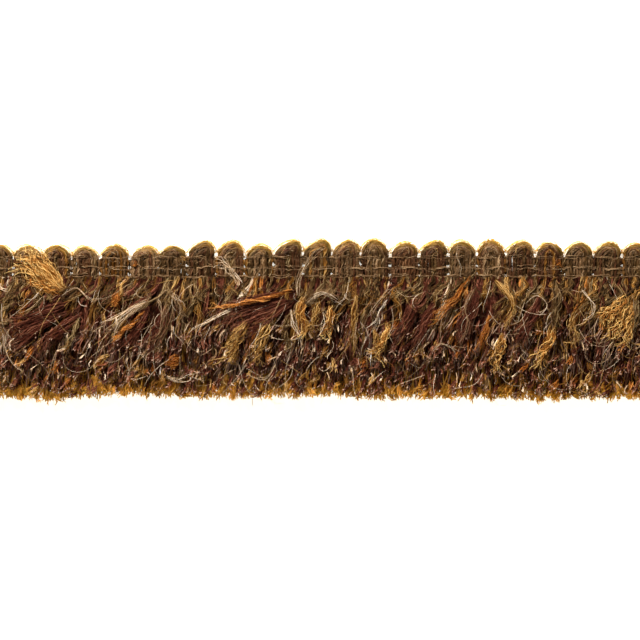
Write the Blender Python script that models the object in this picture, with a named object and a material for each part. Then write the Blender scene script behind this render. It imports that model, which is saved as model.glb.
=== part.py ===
"""Brush fringe trim: a cut length lying flat on its back.

A woven heading with a scalloped upper edge carries a thick skirt of cut yarn.
The weft bundles of the heading turn over at each scallop and run down into the
skirt on both faces of the band, so the skirt has a back ply and a front ply.
X runs along the trim, +Y points from the skirt's cut ends to the scallops, and
Z is the thickness. The trim rests on the plane Z = 0.
"""

import math
import random
from collections import namedtuple

import bmesh
import bpy
from mathutils import Vector

MM = 0.001

Scallop = namedtuple("Scallop", "short_mm shift_mm")

# How far each scallop falls short of the tallest, and its peak's shift along the trim
SCALLOPS = (
    Scallop(1.2, 0.0),
    Scallop(1.5, 0.0),
    Scallop(1.3, 0.0),
    Scallop(1.7, -0.5),
    Scallop(1.3, 0.4),
    Scallop(1.7, 0.8),
    Scallop(1.5, 0.4),
    Scallop(0.4, 0.9),
    Scallop(0.4, 0.8),
    Scallop(1.3, 0.4),
    Scallop(0.2, 1.4),
    Scallop(0.0, 1.2),
    Scallop(0.2, 0.8),
    Scallop(0.0, -0.3),
    Scallop(0.7, 0.5),
    Scallop(0.4, 1.0),
    Scallop(0.4, -0.2),
    Scallop(0.2, -0.2),
    Scallop(0.4, 0.6),
    Scallop(0.7, 0.0),
    Scallop(0.7, 0.6),
    Scallop(0.7, 0.8),
    Scallop(0.9, 0.0),
    Scallop(0.7, 0.3),
)

# Driving dimensions of the whole trim
SCALLOP_COUNT = len(SCALLOPS)
SCALLOP_PITCH = 6.74 * MM
TRIM_LENGTH = SCALLOP_COUNT * SCALLOP_PITCH
TRIM_HEIGHT = 38.0 * MM
PIECE_GAP = 0.3 * MM

# Heading: a plain woven band with one arch of yarn over each pair of columns
HEADING_THICKNESS = 3.0 * MM
BAND_HEIGHT = 5.1 * MM
ARCH_HEIGHT = 3.9 * MM
ARCH_FULLNESS = 0.5
ARCH_RIM_THICKNESS = 0.9 * MM
COLUMN_SHARE = 0.5
COLUMN_GROOVE = 0.85 * MM
COLUMN_FULLNESS = 0.6
BINDER_ROWS = (0.8 * MM, 2.6 * MM, 4.5 * MM)
BINDER_DIP = 0.7 * MM
STEPS_PER_SCALLOP = 8
ARCH_STEPS = (0.45, 0.8, 1.0)
LEAST_ARCH = 0.15 * MM

# Skirt: rows of flattened locks whose roots are fused into a narrow backing
LOCKS_PER_SCALLOP = 3
LOCK_WIDTH = 1.6 * MM
LOCK_THICKNESS = 0.68 * MM
ROOT_WIDTH = 1.15 * MM
ROOT_THICKNESS = 0.36 * MM
ROW_RISE = 0.92 * MM
THINS_FROM = 0.4
TIP_SHRINK = 0.16
TIP_WIDTH_SHARE = 0.72
ROOT_DEPTH = 0.45 * MM
SWAY_POWER = 1.5
LEAN_SPREAD = 0.3 * MM
END_MARGIN = 0.15 * MM
BACKING_HEIGHT = 1.3 * MM
BACKING_THICKNESS = 1.4 * MM

SEED = 11

Ply = namedtuple("Ply", "name backing_z rows")
Row = namedtuple("Row", "root_z level reach_share spread_mm lean_share stations")

# level counts the steps of ROW_RISE above the floor at which a row's first lock lies,
# and reach_share is how far its longest lock comes down to the trim's cut edge
PLIES = (
    Ply("skirt_back", 0.0, (
        Row(0.25 * MM, 0, 1.00, 0.9, 0.05, 2),
        Row(0.85 * MM, 2, 0.98, 1.5, 0.15, 2),
    )),
    Ply("skirt_front", BACKING_THICKNESS + PIECE_GAP, (
        Row(1.95 * MM, 4, 0.90, 2.2, 0.45, 3),
        Row(2.50 * MM, 6, 0.70, 3.2, 1.00, 4),
    )),
)

Sweep = namedtuple("Sweep", "at_mm lean_mm")

# How far the tips of the topmost locks are swept along the trim, left to right
SWEEPS = (
    Sweep(-81.0, 0.3),
    Sweep(-62.8, -8.0),
    Sweep(-52.8, -4.5),
    Sweep(-41.8, -8.0),
    Sweep(-30.8, -1.5),
    Sweep(-19.8, -5.0),
    Sweep(-6.8, -9.5),
    Sweep(7.2, -2.0),
    Sweep(22.2, -7.0),
    Sweep(31.2, -8.0),
    Sweep(39.2, -2.0),
    Sweep(47.2, -5.0),
    Sweep(53.2, -1.0),
    Sweep(67.2, -7.5),
    Sweep(81.0, -4.0),
)

Tuft = namedtuple("Tuft", "root_mm across_mm up_mm fan_mm locks")

# Tufts that have flipped up and lie over the heading, measured from their roots
TUFTS = (
    Tuft(-62.3, -8.6, 5.6, 1.5, 4),
    Tuft(-21.4, -6.0, 5.4, 1.5, 2),
)
TUFT_WIDTH = 1.2 * MM
TUFT_THICKNESS = 0.6 * MM
TUFT_ROOT_PITCH = 2.0 * MM
TUFT_ROOT_DEPTH = 0.6 * MM
TUFT_ROOT_INSET = 0.42 * MM
TUFT_CLEARANCE = 0.5 * MM
TUFT_NECK = 0.7
TUFT_SPREAD = 0.25
# (share of the way to the tip, lift over the clearance)
TUFT_LIFTS = ((0.2, 0.55 * MM), (0.55, 0.5 * MM), (1.0, 0.1 * MM))
TUFT_STACK = 0.9 * MM

Finish = namedtuple("Finish", "colour roughness")
FINISHES = {
    "heading": Finish((0.115, 0.070, 0.036), 0.85),
    "skirt_back": Finish((0.085, 0.038, 0.020), 0.88),
    "skirt_front": Finish((0.105, 0.052, 0.024), 0.86),
}

# Places that follow from the sizes
TOP_Y = TRIM_HEIGHT / 2
HEADING_BASE_Y = TOP_Y - ARCH_HEIGHT - BAND_HEIGHT
BACKING_TOP_Y = HEADING_BASE_Y - PIECE_GAP
BACKING_FRONT_Y = BACKING_TOP_Y - BACKING_HEIGHT
LOCK_PITCH = SCALLOP_PITCH / LOCKS_PER_SCALLOP
LOCK_COUNT = SCALLOP_COUNT * LOCKS_PER_SCALLOP
FULL_REACH = BACKING_FRONT_Y + TRIM_HEIGHT / 2


def clear_scene():
    """Removes every object that the scene starts with."""
    for thing in list(bpy.data.objects):
        bpy.data.objects.remove(thing, do_unlink=True)


def new_collection(name, hidden=False):
    """A collection in the scene; a hidden one holds shapes that a Boolean joins."""
    collection = bpy.data.collections.new(name)
    collection.hide_render = hidden
    bpy.context.scene.collection.children.link(collection)
    return collection


def finish_material(name):
    """A rough Principled material with the part's colour."""
    finish = FINISHES[name]
    material = bpy.data.materials.new(name)
    material.use_nodes = True
    shader = material.node_tree.nodes["Principled BSDF"]
    shader.inputs["Base Color"].default_value = (*finish.colour, 1.0)
    shader.inputs["Roughness"].default_value = finish.roughness
    shader.inputs["Metallic"].default_value = 0.0
    return material


def object_from_bmesh(name, bm, collection):
    """Turns a finished bmesh into a named object in the collection."""
    bmesh.ops.recalc_face_normals(bm, faces=bm.faces[:])
    mesh = bpy.data.meshes.new(name)
    bm.to_mesh(mesh)
    bm.free()
    thing = bpy.data.objects.new(name, mesh)
    collection.objects.link(thing)
    return thing


def ease(t):
    """Runs from 0 to 1 with level ends."""
    t = min(max(t, 0.0), 1.0)
    return t * t * (3 - 2 * t)


def swept(x):
    """The lean of the topmost locks' tips at x, eased between the rows of SWEEPS."""
    at = x / MM
    if at <= SWEEPS[0].at_mm:
        return SWEEPS[0].lean_mm * MM
    for low, high in zip(SWEEPS, SWEEPS[1:]):
        if at <= high.at_mm:
            share = ease((at - low.at_mm) / (high.at_mm - low.at_mm))
            return (low.lean_mm + (high.lean_mm - low.lean_mm) * share) * MM
    return SWEEPS[-1].lean_mm * MM


def arch_height(along):
    """The arch's height over the band, where along counts scallops from the left end."""
    index = min(int(along), SCALLOP_COUNT - 1)
    share = along - index
    scallop = SCALLOPS[index]
    lean = -scallop.shift_mm * MM / SCALLOP_PITCH
    share = min(max(share + lean * math.sin(math.pi * share), 0.0), 1.0)
    round_top = max(math.sin(math.pi * share), 0.0) ** ARCH_FULLNESS
    return max(round_top * (ARCH_HEIGHT - scallop.short_mm * MM), LEAST_ARCH)


def column_round(along):
    """0 in the groove between two weft columns and 1 on a column's crest."""
    share = (along % COLUMN_SHARE) / COLUMN_SHARE
    return math.sin(math.pi * share) ** COLUMN_FULLNESS if share > 0 else 0.0


def heading_rows():
    """(height over the base, binder row or None) for each row of the band's points."""
    rows = [(0.0, None)]
    for number, height in enumerate(BINDER_ROWS):
        between = (rows[-1][0] + height) / 2
        rows += [(between, None), (height, number)] if number else [(height, number)]
    return rows + [(BAND_HEIGHT, None)]


def band_thickness(along, binder):
    """The band's thickness: rounded columns, every other one drawn in by a binder thread."""
    thickness = HEADING_THICKNESS - COLUMN_GROOVE * (1 - column_round(along))
    column = int(along / COLUMN_SHARE)
    if binder is not None and (column + binder) % 2:
        thickness -= BINDER_DIP
    return thickness


def arch_thickness(along, rise):
    """The arch's thickness, rounded off towards its rim."""
    crest = band_thickness(along, None)
    rounding = math.sqrt(max(1 - rise ** 2, 0.0))
    return ARCH_RIM_THICKNESS + (crest - ARCH_RIM_THICKNESS) * rounding


def build_heading(collection):
    """The woven band and its arches: a grid raised to the weave, on a flat back."""
    rows = heading_rows()
    across = SCALLOP_COUNT * STEPS_PER_SCALLOP
    up = len(rows) + len(ARCH_STEPS) - 1
    bm = bmesh.new()
    bmesh.ops.create_grid(bm, x_segments=across, y_segments=up, size=1.0)
    for vert in bm.verts:
        column = round((vert.co.x + 1) / 2 * across)
        row = round((vert.co.y + 1) / 2 * up)
        along = column / STEPS_PER_SCALLOP
        x = along * SCALLOP_PITCH - TRIM_LENGTH / 2
        if row < len(rows):
            height, binder = rows[row]
            z = band_thickness(along, binder)
        else:
            rise = ARCH_STEPS[row - len(rows)]
            height = BAND_HEIGHT + rise * arch_height(along)
            z = arch_thickness(along, rise)
        vert.co = Vector((x, HEADING_BASE_Y + height, z))
    rim = [edge for edge in bm.edges if edge.is_boundary]
    dropped = bmesh.ops.extrude_edge_only(bm, edges=rim)["geom"]
    for vert in (part for part in dropped if isinstance(part, bmesh.types.BMVert)):
        vert.co.z = 0.0
    foot = [
        part for part in dropped
        if isinstance(part, bmesh.types.BMEdge) and part.is_boundary
    ]
    back = bmesh.ops.contextual_create(bm, geom=foot)["faces"]
    bmesh.ops.triangulate(bm, faces=back, ngon_method="EAR_CLIP")
    heading = object_from_bmesh("heading", bm, collection)
    heading.data.materials.append(finish_material("heading"))
    return heading


def add_lock(bm, sections):
    """Lofts one closed lock of four sides through its sections of four corners each."""
    rings = [[bm.verts.new(corner) for corner in section] for section in sections]
    for low, high in zip(rings, rings[1:]):
        for side in range(4):
            after = (side + 1) % 4
            bm.faces.new((low[side], low[after], high[after], high[side]))
    bm.faces.new(rings[0][::-1])
    bm.faces.new(rings[-1])


def flat_section(centre, heading_way, width, bottom, thickness):
    """Four corners across a lock that lies level, at right angles to its way in plan."""
    side = Vector((-heading_way.y, heading_way.x, 0.0)).normalized() * width / 2
    plan = Vector((centre.x, centre.y, 0.0))
    low = Vector((0.0, 0.0, bottom))
    high = Vector((0.0, 0.0, bottom + thickness))
    return [plan - side + low, plan + side + low, plan + side + high, plan - side + high]


def pile_shrink(reach):
    """How much of its full depth the pile keeps at a reach below the backing."""
    share = reach / FULL_REACH
    return 1 - TIP_SHRINK * ease((share - THINS_FROM) / (1 - THINS_FROM))


def hanging_lock(x, row, level, lean, drop):
    """The sections of a lock that leaves the backing and lies down in its own lane."""
    inside = Vector((x, BACKING_FRONT_Y + ROOT_DEPTH, 0.0))
    down = Vector((0.0, -1.0, 0.0))
    sections = [flat_section(inside, down, ROOT_WIDTH, row.root_z, ROOT_THICKNESS)]
    for step in range(1, row.stations + 1):
        t = step / row.stations
        place = Vector((x + lean * t ** SWAY_POWER, BACKING_FRONT_Y - drop * t, 0.0))
        way = Vector((lean * SWAY_POWER * t ** (SWAY_POWER - 1), -drop, 0.0))
        width = LOCK_WIDTH * (TIP_WIDTH_SHARE if step == row.stations else 1.0)
        shrink = pile_shrink(drop * t)
        bottom = level * ROW_RISE * shrink
        sections.append(flat_section(place, way, width, bottom, LOCK_THICKNESS * shrink))
    return sections


def add_row(bm, row, chance):
    """Adds one row of locks, every second of them a step higher than its neighbours."""
    short = [chance.random() for _ in range(LOCK_COUNT)]
    leftmost = (LOCK_WIDTH - TRIM_LENGTH) / 2 + END_MARGIN
    for number in range(LOCK_COUNT):
        x = (number + 0.5) * LOCK_PITCH - TRIM_LENGTH / 2
        lean = swept(x) * row.lean_share + chance.uniform(-1, 1) * LEAN_SPREAD
        lean = max(lean, leftmost - x)
        drop = FULL_REACH * row.reach_share
        drop -= (short[number] - min(short)) * row.spread_mm * MM
        add_lock(bm, hanging_lock(x, row, row.level + number % 2, lean, drop))


def square_section(centre, side, up):
    """Four corners about a centre, from half-width and half-thickness vectors."""
    return [centre - side - up, centre + side - up, centre + side + up, centre - side + up]


def tuft_lock(root, tip, way, over):
    """The sections of a lock that stands up out of the backing and lies over the heading."""
    half = TUFT_THICKNESS / 2
    buried = PLIES[-1].backing_z + BACKING_THICKNESS - TUFT_ROOT_DEPTH
    neck = Vector((TUFT_WIDTH * TUFT_NECK / 2, 0.0, 0.0))
    sections = [
        square_section(root + Vector((0.0, 0.0, z)), neck, Vector((0.0, -half, 0.0)))
        for z in (buried, over)
    ]
    side = Vector((way.y, -way.x, 0.0)) * TUFT_WIDTH / 2
    for share, lift in TUFT_LIFTS:
        centre = root.lerp(tip, share) + Vector((0.0, 0.0, over + lift + half))
        spread = side * (1 + TUFT_SPREAD * share)
        sections.append(square_section(centre, spread, Vector((0.0, 0.0, half))))
    return sections


def add_tuft(bm, tuft):
    """Adds a tuft that rises from the front backing and fans out over the heading."""
    root_y = BACKING_TOP_Y - TUFT_ROOT_INSET
    for number in range(tuft.locks):
        aside = number - (tuft.locks - 1) / 2
        root = Vector((tuft.root_mm * MM + aside * TUFT_ROOT_PITCH, root_y, 0.0))
        reach = Vector((tuft.across_mm, tuft.up_mm + aside * tuft.fan_mm, 0.0)) * MM
        over = HEADING_THICKNESS + TUFT_CLEARANCE + number % 2 * TUFT_STACK
        add_lock(bm, tuft_lock(root, root + reach, reach.normalized(), over))


def build_backing(name, bottom, collection):
    """The narrow strip that holds the roots of one ply, cut into one length a scallop."""
    bm = bmesh.new()
    bmesh.ops.create_cube(bm, size=1.0)
    lengthwise = [
        edge for edge in bm.edges
        if abs(edge.verts[0].co.x - edge.verts[1].co.x) > 0.5
    ]
    bmesh.ops.subdivide_edges(bm, edges=lengthwise, cuts=SCALLOP_COUNT - 1)
    for vert in bm.verts:
        vert.co.x *= TRIM_LENGTH
        vert.co.y = BACKING_FRONT_Y + (vert.co.y + 0.5) * BACKING_HEIGHT
        vert.co.z = bottom + (vert.co.z + 0.5) * BACKING_THICKNESS
    return object_from_bmesh(name, bm, collection)


def build_ply(ply, seed, collection, joined):
    """One ply of the skirt: its backing, with the rows of locks joined to it."""
    chance = random.Random(seed)
    backing = build_backing(ply.name, ply.backing_z, collection)
    backing.data.materials.append(finish_material(ply.name))
    bm = bmesh.new()
    for row in ply.rows:
        add_row(bm, row, chance)
    if ply is PLIES[-1]:
        for tuft in TUFTS:
            add_tuft(bm, tuft)
    locks = object_from_bmesh(ply.name + "_locks", bm, joined)
    locks.hide_render = True
    locks.display_type = "WIRE"
    union = backing.modifiers.new("join_locks", "BOOLEAN")
    union.operation = "UNION"
    union.solver = "EXACT"
    union.object = locks
    return backing


def main():
    """Builds the heading and both plies of the skirt."""
    clear_scene()
    trim = new_collection("brush_fringe_trim")
    joined = new_collection("joined_shapes", hidden=True)
    build_heading(trim)
    for number, ply in enumerate(PLIES):
        build_ply(ply, SEED + 1 + number, trim, joined)


main()
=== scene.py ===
"""Looks of the brush fringe trim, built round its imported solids.

The trim lies flat on its back. Its woven heading is made of weft yarns that run up
one column, arch over at a scallop and come down the next, crossed by fine binder
threads. Below it hangs a thick pile of cut wool and linen locks. Every yarn, lock and
stray is a set of strands, and a strand is a thin closed tube along a line of
stations. X runs along the trim, +Y points to the scallops, Z is the thickness, and
all lengths are in metres.
"""

import logging
from dataclasses import dataclass, field, replace
from enum import Enum
from itertools import product
from typing import Any, Sequence

import bpy
import numpy as np
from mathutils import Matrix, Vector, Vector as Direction


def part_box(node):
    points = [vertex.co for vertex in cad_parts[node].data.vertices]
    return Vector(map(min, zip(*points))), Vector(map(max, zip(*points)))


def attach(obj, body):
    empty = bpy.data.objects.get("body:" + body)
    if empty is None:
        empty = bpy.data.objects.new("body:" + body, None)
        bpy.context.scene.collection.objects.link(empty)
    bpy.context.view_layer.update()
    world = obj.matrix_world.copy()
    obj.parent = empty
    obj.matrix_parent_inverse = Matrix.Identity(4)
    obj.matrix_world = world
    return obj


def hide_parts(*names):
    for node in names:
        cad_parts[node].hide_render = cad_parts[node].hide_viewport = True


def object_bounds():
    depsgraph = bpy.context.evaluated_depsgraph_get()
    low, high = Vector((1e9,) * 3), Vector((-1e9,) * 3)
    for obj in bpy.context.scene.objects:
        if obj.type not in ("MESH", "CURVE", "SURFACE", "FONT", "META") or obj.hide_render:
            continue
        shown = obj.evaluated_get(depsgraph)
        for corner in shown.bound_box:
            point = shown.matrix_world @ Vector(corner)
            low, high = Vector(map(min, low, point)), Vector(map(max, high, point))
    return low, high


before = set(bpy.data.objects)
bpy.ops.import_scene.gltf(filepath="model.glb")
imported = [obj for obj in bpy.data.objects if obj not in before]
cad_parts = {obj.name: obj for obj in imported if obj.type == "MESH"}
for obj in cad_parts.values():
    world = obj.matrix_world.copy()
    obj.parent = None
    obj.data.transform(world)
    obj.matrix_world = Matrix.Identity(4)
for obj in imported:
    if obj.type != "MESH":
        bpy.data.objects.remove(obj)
CAD_LOW, CAD_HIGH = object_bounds()

Array = np.ndarray
Colour = tuple[float, float, float]

MM = 0.001
SEED = 31

# Shades of one yarn, each with its own lane across the map, and sides of a strand
SHADES = 48
SIDES = 3

BODY = "root"
MAP_NAME = "OFBake"

log = logging.getLogger("fringe")


def srgb(red: int, green: int, blue: int) -> Colour:
    """The linear colour of a screen colour, by the sRGB standard's curve.

    Args:
        red: The screen's red, from 0 to 255.
        green: The screen's green, from 0 to 255.
        blue: The screen's blue, from 0 to 255.

    Returns:
        The linear red, green and blue, from 0 to 1.
    """
    share = np.array([red, green, blue]) / 255.0
    linear = np.where(share <= 0.04045, share / 12.92, ((share + 0.055) / 1.055) ** 2.4)
    return tuple(float(channel) for channel in linear)


def ease(value: Array) -> Array:
    """Runs from 0 to 1 with level ends, and is held at them outside."""
    share = np.clip(value, 0.0, 1.0)
    return share * share * (3.0 - 2.0 * share)


def bump(value: Array) -> Array:
    """1 where the value is 0, falling off evenly to both sides of it."""
    return np.exp(-(value**2))


def about_one(chance: np.random.Generator, shape: tuple[int, ...], spread: float) -> Array:
    """Factors spread evenly from 1 - spread to 1 + spread."""
    return 1 - spread + 2 * spread * chance.random(shape)


def unit(vectors: Array) -> Array:
    """Vectors of length 1 along the last axis."""
    return vectors / np.maximum(np.linalg.norm(vectors, axis=-1, keepdims=True), 1e-12)


class Term:
    """A shader socket that takes part in Python arithmetic."""

    def __init__(self, sheet: "NodeSheet", socket: Any) -> None:
        """Wraps a socket of the sheet's node tree."""
        self.sheet = sheet
        self.socket = socket

    def _maths(self, operation: str, first: Any, second: Any) -> "Term":
        """Adds a Math node for two values."""
        node = self.sheet.node("ShaderNodeMath", {"operation": operation}, {0: first, 1: second})
        return Term(self.sheet, node.outputs[0])

    def __add__(self, other: Any) -> "Term":
        """self + other."""
        return self._maths("ADD", self, other)

    __radd__ = __add__

    def __sub__(self, other: Any) -> "Term":
        """self - other."""
        return self._maths("SUBTRACT", self, other)

    def __rsub__(self, other: Any) -> "Term":
        """other - self."""
        return self._maths("SUBTRACT", other, self)

    def __mul__(self, other: Any) -> "Term":
        """self * other."""
        return self._maths("MULTIPLY", self, other)

    __rmul__ = __mul__

    def __truediv__(self, other: Any) -> "Term":
        """self / other."""
        return self._maths("DIVIDE", self, other)

    def floor(self) -> "Term":
        """The whole number at or below self."""
        return self._maths("FLOOR", self, 0.0)

    def between(self, low: float, high: float) -> "Term":
        """An eased step.

        Args:
            low: The value up to which the step is 0.
            high: The value from which it is 1.

        Returns:
            The step.
        """
        node = self.sheet.node(
            "ShaderNodeMapRange",
            {"interpolation_type": "SMOOTHSTEP"},
            {"Value": self, "From Min": low, "From Max": high},
        )
        return Term(self.sheet, node.outputs["Result"])


class NodeSheet:
    """A material's node tree, filled one node at a time."""

    def __init__(self, name: str) -> None:
        """Makes an empty material.

        Args:
            name: The material's name.
        """
        self.material = bpy.data.materials.new(name)
        self.material.use_nodes = True
        self.tree = self.material.node_tree
        self.tree.nodes.clear()

    def node(self, kind: str, settings: dict, values: dict) -> Any:
        """Adds a node.

        Args:
            kind: The node's type name.
            settings: Its own settings, set before its sockets. A list under "stops"
                gives a ramp's (position, colour) pairs.
            values: A value, a Term or a socket for each of its inputs.

        Returns:
            The node.
        """
        node = self.tree.nodes.new(kind)
        stops = settings.pop("stops", None)
        for key, value in settings.items():
            setattr(node, key, value)
        if stops:
            ramp = node.color_ramp
            while len(ramp.elements) < len(stops):
                ramp.elements.new(0.5)
            for element, (position, colour) in zip(ramp.elements, stops):
                element.position = position
                element.color = (*colour, 1.0)
        for key, value in values.items():
            socket = node.inputs[key]
            source = value.socket if isinstance(value, Term) else value
            if isinstance(source, bpy.types.NodeSocket):
                self.tree.links.new(source, socket)
            else:
                socket.default_value = source
        return node

    def mix(self, share: Any, first: Any, second: Any) -> Any:
        """Mixes two colours.

        Args:
            share: How much of the second colour, as a Term or a number.
            first: A colour socket or four numbers.
            second: A colour socket or four numbers.

        Returns:
            The mixed colour's socket.
        """
        settings = {"data_type": "RGBA"}
        node = self.node("ShaderNodeMix", settings, {"Factor": share, 6: first, 7: second})
        return node.outputs[2]


# Painted golden glow on the tips at the lit edge
PAINTED_GLOW_TIP = srgb(250, 206, 108)
# Painted pale highlight on the cut tips
PAINTED_PALE_HIGHLIGHT = srgb(228, 194, 180)
# Painted amber glow at the crown of a scallop
CROWN_PAINTED_GLOW = srgb(208, 174, 84)
EDGE_GLOW = srgb(252, 220, 134)
EDGE_SEE_THROUGH = 0.64
# How far the lit edge's colours are drawn towards the painted golden glow
PAINTED_GLOW_SHARE = 0.4
# How much of a cut tip the painted pale highlight takes
PAINTED_HIGHLIGHT_SHARE = 0.85

# Shares of a strand's length, from root to tip, at which its parts begin and end: the painted shade at
# the root, the painted highlight at the tip, and the rise and fall of the painted amber glow at a crown
ROOT_FADE = (0.0, 0.30)
TIP_RISE = (0.80, 0.96)
CROWN_RISE = (0.34, 0.48)
CROWN_FALL = (0.52, 0.66)

# What the crown's painted amber glow adds where its noise is darkest, and what the crown adds to the
# light let through
CROWN_GLOW_LEAST = 0.3
CROWN_SEE_THROUGH = 0.5

# A shade's lot is the fraction left of its number times the golden share; the painted tip colour comes in
# as the lot climbs through the lucky lots
GOLDEN_SHARE = 0.618
LUCKY_LOTS = (0.4, 0.8)

# How far apart the noise of two shades lies, and how rough that noise is
NOISE_STEP = 171.3
NOISE_ROUGHNESS = 0.62
ROUGHNESS_SPREAD = 0.3


@dataclass(frozen=True)
class YarnFinish:
    """The look of one kind of yarn, from its darkest strands to its lightest."""

    name: str
    dark: Colour
    middle: Colour
    light: Colour
    # The tip's colour and how much of a tip takes it: a painted highlight, or a painted glow on the lit
    # edge
    tip: Colour
    painted_tip_share: float = 0.4
    glow: Colour = srgb(246, 206, 128)
    see_through: float = 0.1
    roughness: float = 0.55
    gloss: float = 0.1
    mottle: float = 0.4
    mottle_turns: float = 9.0
    # Painted shade at the root, where it sinks among the other strands
    painted_root_shade: float = 0.2
    # Share of painted amber glow at the crown
    crown_glow_share: float = 0.0

    def material(self) -> bpy.types.Material:
        """Builds the material.

        A strand's place across the map picks its shade, and the place along it runs
        from root to tip. Noise mottles the strand lengthwise, a painted shade darkens the
        root, a painted highlight in the tip's colour lies on about half of the cut tips,
        and some light passes through. A yarn with a crown has a painted amber glow
        halfway along, where it arches over a scallop, and lets more light through there.

        Returns:
            The material.
        """
        sheet = NodeSheet(self.name)
        place = sheet.node("ShaderNodeUVMap", {"uv_map": MAP_NAME}, {})
        parts = sheet.node("ShaderNodeSeparateXYZ", {}, {0: place.outputs[0]})
        across = Term(sheet, parts.outputs[0])
        along = Term(sheet, parts.outputs[1])
        shade = ((across * SHADES).floor() + 0.5) / SHADES
        spot = sheet.node(
            "ShaderNodeCombineXYZ", {}, {0: shade * NOISE_STEP, 1: along * self.mottle_turns}
        )
        noise = sheet.node(
            "ShaderNodeTexNoise",
            {"noise_dimensions": "2D"},
            {"Vector": spot.outputs[0], "Scale": 1.0, "Detail": 3.0, "Roughness": NOISE_ROUGHNESS},
        )
        mottled = Term(sheet, noise.outputs[0])
        tone = shade + (mottled - 0.5) * (2.0 * self.mottle)
        stops = [(0.0, self.dark), (0.5, self.middle), (1.0, self.light)]
        ramp = sheet.node("ShaderNodeValToRGB", {"stops": stops}, {0: tone})
        # Painted shade: the root is darkened towards black
        painted_root_darkening = (1.0 - along.between(*ROOT_FADE)) * self.painted_root_shade
        shaded = sheet.mix(painted_root_darkening, ramp.outputs[0], (0.0, 0.0, 0.0, 1.0))
        # Painted light on the tips: the tip's colour on the tips of about half of the shades
        lot = shade * SHADES * GOLDEN_SHARE
        lucky = (lot - lot.floor()).between(*LUCKY_LOTS)
        painted_tip_light = along.between(*TIP_RISE) * lucky * self.painted_tip_share
        # Painted amber glow halfway along, for the light that comes round the scallop's rim
        risen = along.between(*CROWN_RISE)
        crown = risen * (1.0 - along.between(*CROWN_FALL)) * self.crown_glow_share
        painted_crown_glow = sheet.mix(crown * (mottled + CROWN_GLOW_LEAST), shaded, (*CROWN_PAINTED_GLOW, 1.0))
        colour = sheet.mix(painted_tip_light, painted_crown_glow, (*self.tip, 1.0))
        values = {
            "Base Color": colour,
            "Roughness": mottled * ROUGHNESS_SPREAD + (self.roughness - ROUGHNESS_SPREAD / 2),
            "Specular IOR Level": self.gloss,
        }
        wool = sheet.node("ShaderNodeBsdfPrincipled", {}, values)
        through = sheet.node("ShaderNodeBsdfTranslucent", {}, {"Color": (*self.glow, 1.0)})
        passing = crown * CROWN_SEE_THROUGH + self.see_through
        shaders = {0: passing, 1: wool.outputs[0], 2: through.outputs[0]}
        mixed = sheet.node("ShaderNodeMixShader", {}, shaders)
        sheet.node("ShaderNodeOutputMaterial", {}, {0: mixed.outputs[0]})
        return sheet.material

    def painted_glow_edge(self) -> "YarnFinish":
        """The same yarn with a painted golden glow, for the ends that the light comes round.

        Returns:
            The finish.
        """
        middle, light = (
            tuple((1 - PAINTED_GLOW_SHARE) * own + PAINTED_GLOW_SHARE * gold for own, gold in zip(colour, PAINTED_GLOW_TIP))
            for colour in (self.middle, self.light)
        )
        return replace(
            self, name=f"{self.name}_edge", middle=middle, light=light, tip=PAINTED_GLOW_TIP,
            painted_tip_share=1.0, glow=EDGE_GLOW, see_through=EDGE_SEE_THROUGH,
        )

    def arched(self, crown_glow_share: float) -> "YarnFinish":
        """The same yarn for the heading, where its halfway is the crown of a scallop and takes a painted
        amber glow, with no painted tip colour or root shade.
        """
        name = f"{self.name}_arch_{round(100 * crown_glow_share)}"
        return replace(self, name=name, painted_tip_share=0.0, painted_root_shade=0.0, crown_glow_share=crown_glow_share)

    def with_painted_highlights(self) -> "YarnFinish":
        """The same yarn with a painted pale highlight on its cut tips."""
        return replace(self, name=f"{self.name}_cut", tip=PAINTED_PALE_HIGHLIGHT, painted_tip_share=PAINTED_HIGHLIGHT_SHARE)


class Yarn(Enum):
    """The kinds of yarn in the trim, each with its finish."""

    # Each yarn's fourth colour is the painted highlight on its tips
    AUBERGINE = YarnFinish(
        "aubergine_wool", srgb(26, 6, 2), srgb(74, 33, 24), srgb(150, 98, 80),
        srgb(176, 136, 112),
    )
    OCHRE = YarnFinish(
        "ochre_linen", srgb(58, 32, 6), srgb(132, 92, 40), srgb(208, 174, 116),
        srgb(220, 176, 112),
    )
    OLIVE = YarnFinish(
        "olive_linen", srgb(30, 19, 7), srgb(91, 68, 41), srgb(168, 148, 112),
        srgb(190, 154, 98),
    )
    CREAM = YarnFinish(
        "cream_linen", srgb(140, 112, 84), srgb(206, 182, 154), srgb(252, 242, 230),
        srgb(236, 214, 184), painted_tip_share=0.3,
    )
    RUST = YarnFinish(
        "rust_wool", srgb(62, 29, 5), srgb(144, 82, 28), srgb(216, 152, 84),
        srgb(222, 164, 92),
    )
    TAUPE = YarnFinish(
        "taupe_thread", srgb(50, 37, 20), srgb(110, 85, 61), srgb(184, 159, 129),
        srgb(186, 166, 136), painted_tip_share=0.2, painted_root_shade=0.0,
    )
    UMBER = YarnFinish(
        "umber_weft", srgb(38, 21, 9), srgb(88, 58, 38), srgb(158, 120, 88),
        srgb(176, 134, 96),
    )
    GOLD = YarnFinish(
        "gold_linen", srgb(56, 30, 8), srgb(166, 110, 48), srgb(242, 204, 132),
        srgb(246, 216, 146), painted_tip_share=0.9, painted_root_shade=0.5,
    )
    # Rim fuzz whose bright gold is partly its own colour and partly a painted glow
    GOLD_FUZZ = YarnFinish(
        "gold_fuzz", srgb(150, 110, 34), srgb(222, 178, 74), srgb(244, 212, 126),
        srgb(244, 212, 126), painted_tip_share=0.2, glow=srgb(255, 234, 168), see_through=0.8,
        painted_root_shade=0.0,
    )


# How far over the floor the lowest strands lie
FLOOR_GAP = 0.02 * MM

# A line whose way rises more steeply than this, as a share of 1, counts as steep
STEEP = 0.75

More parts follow.
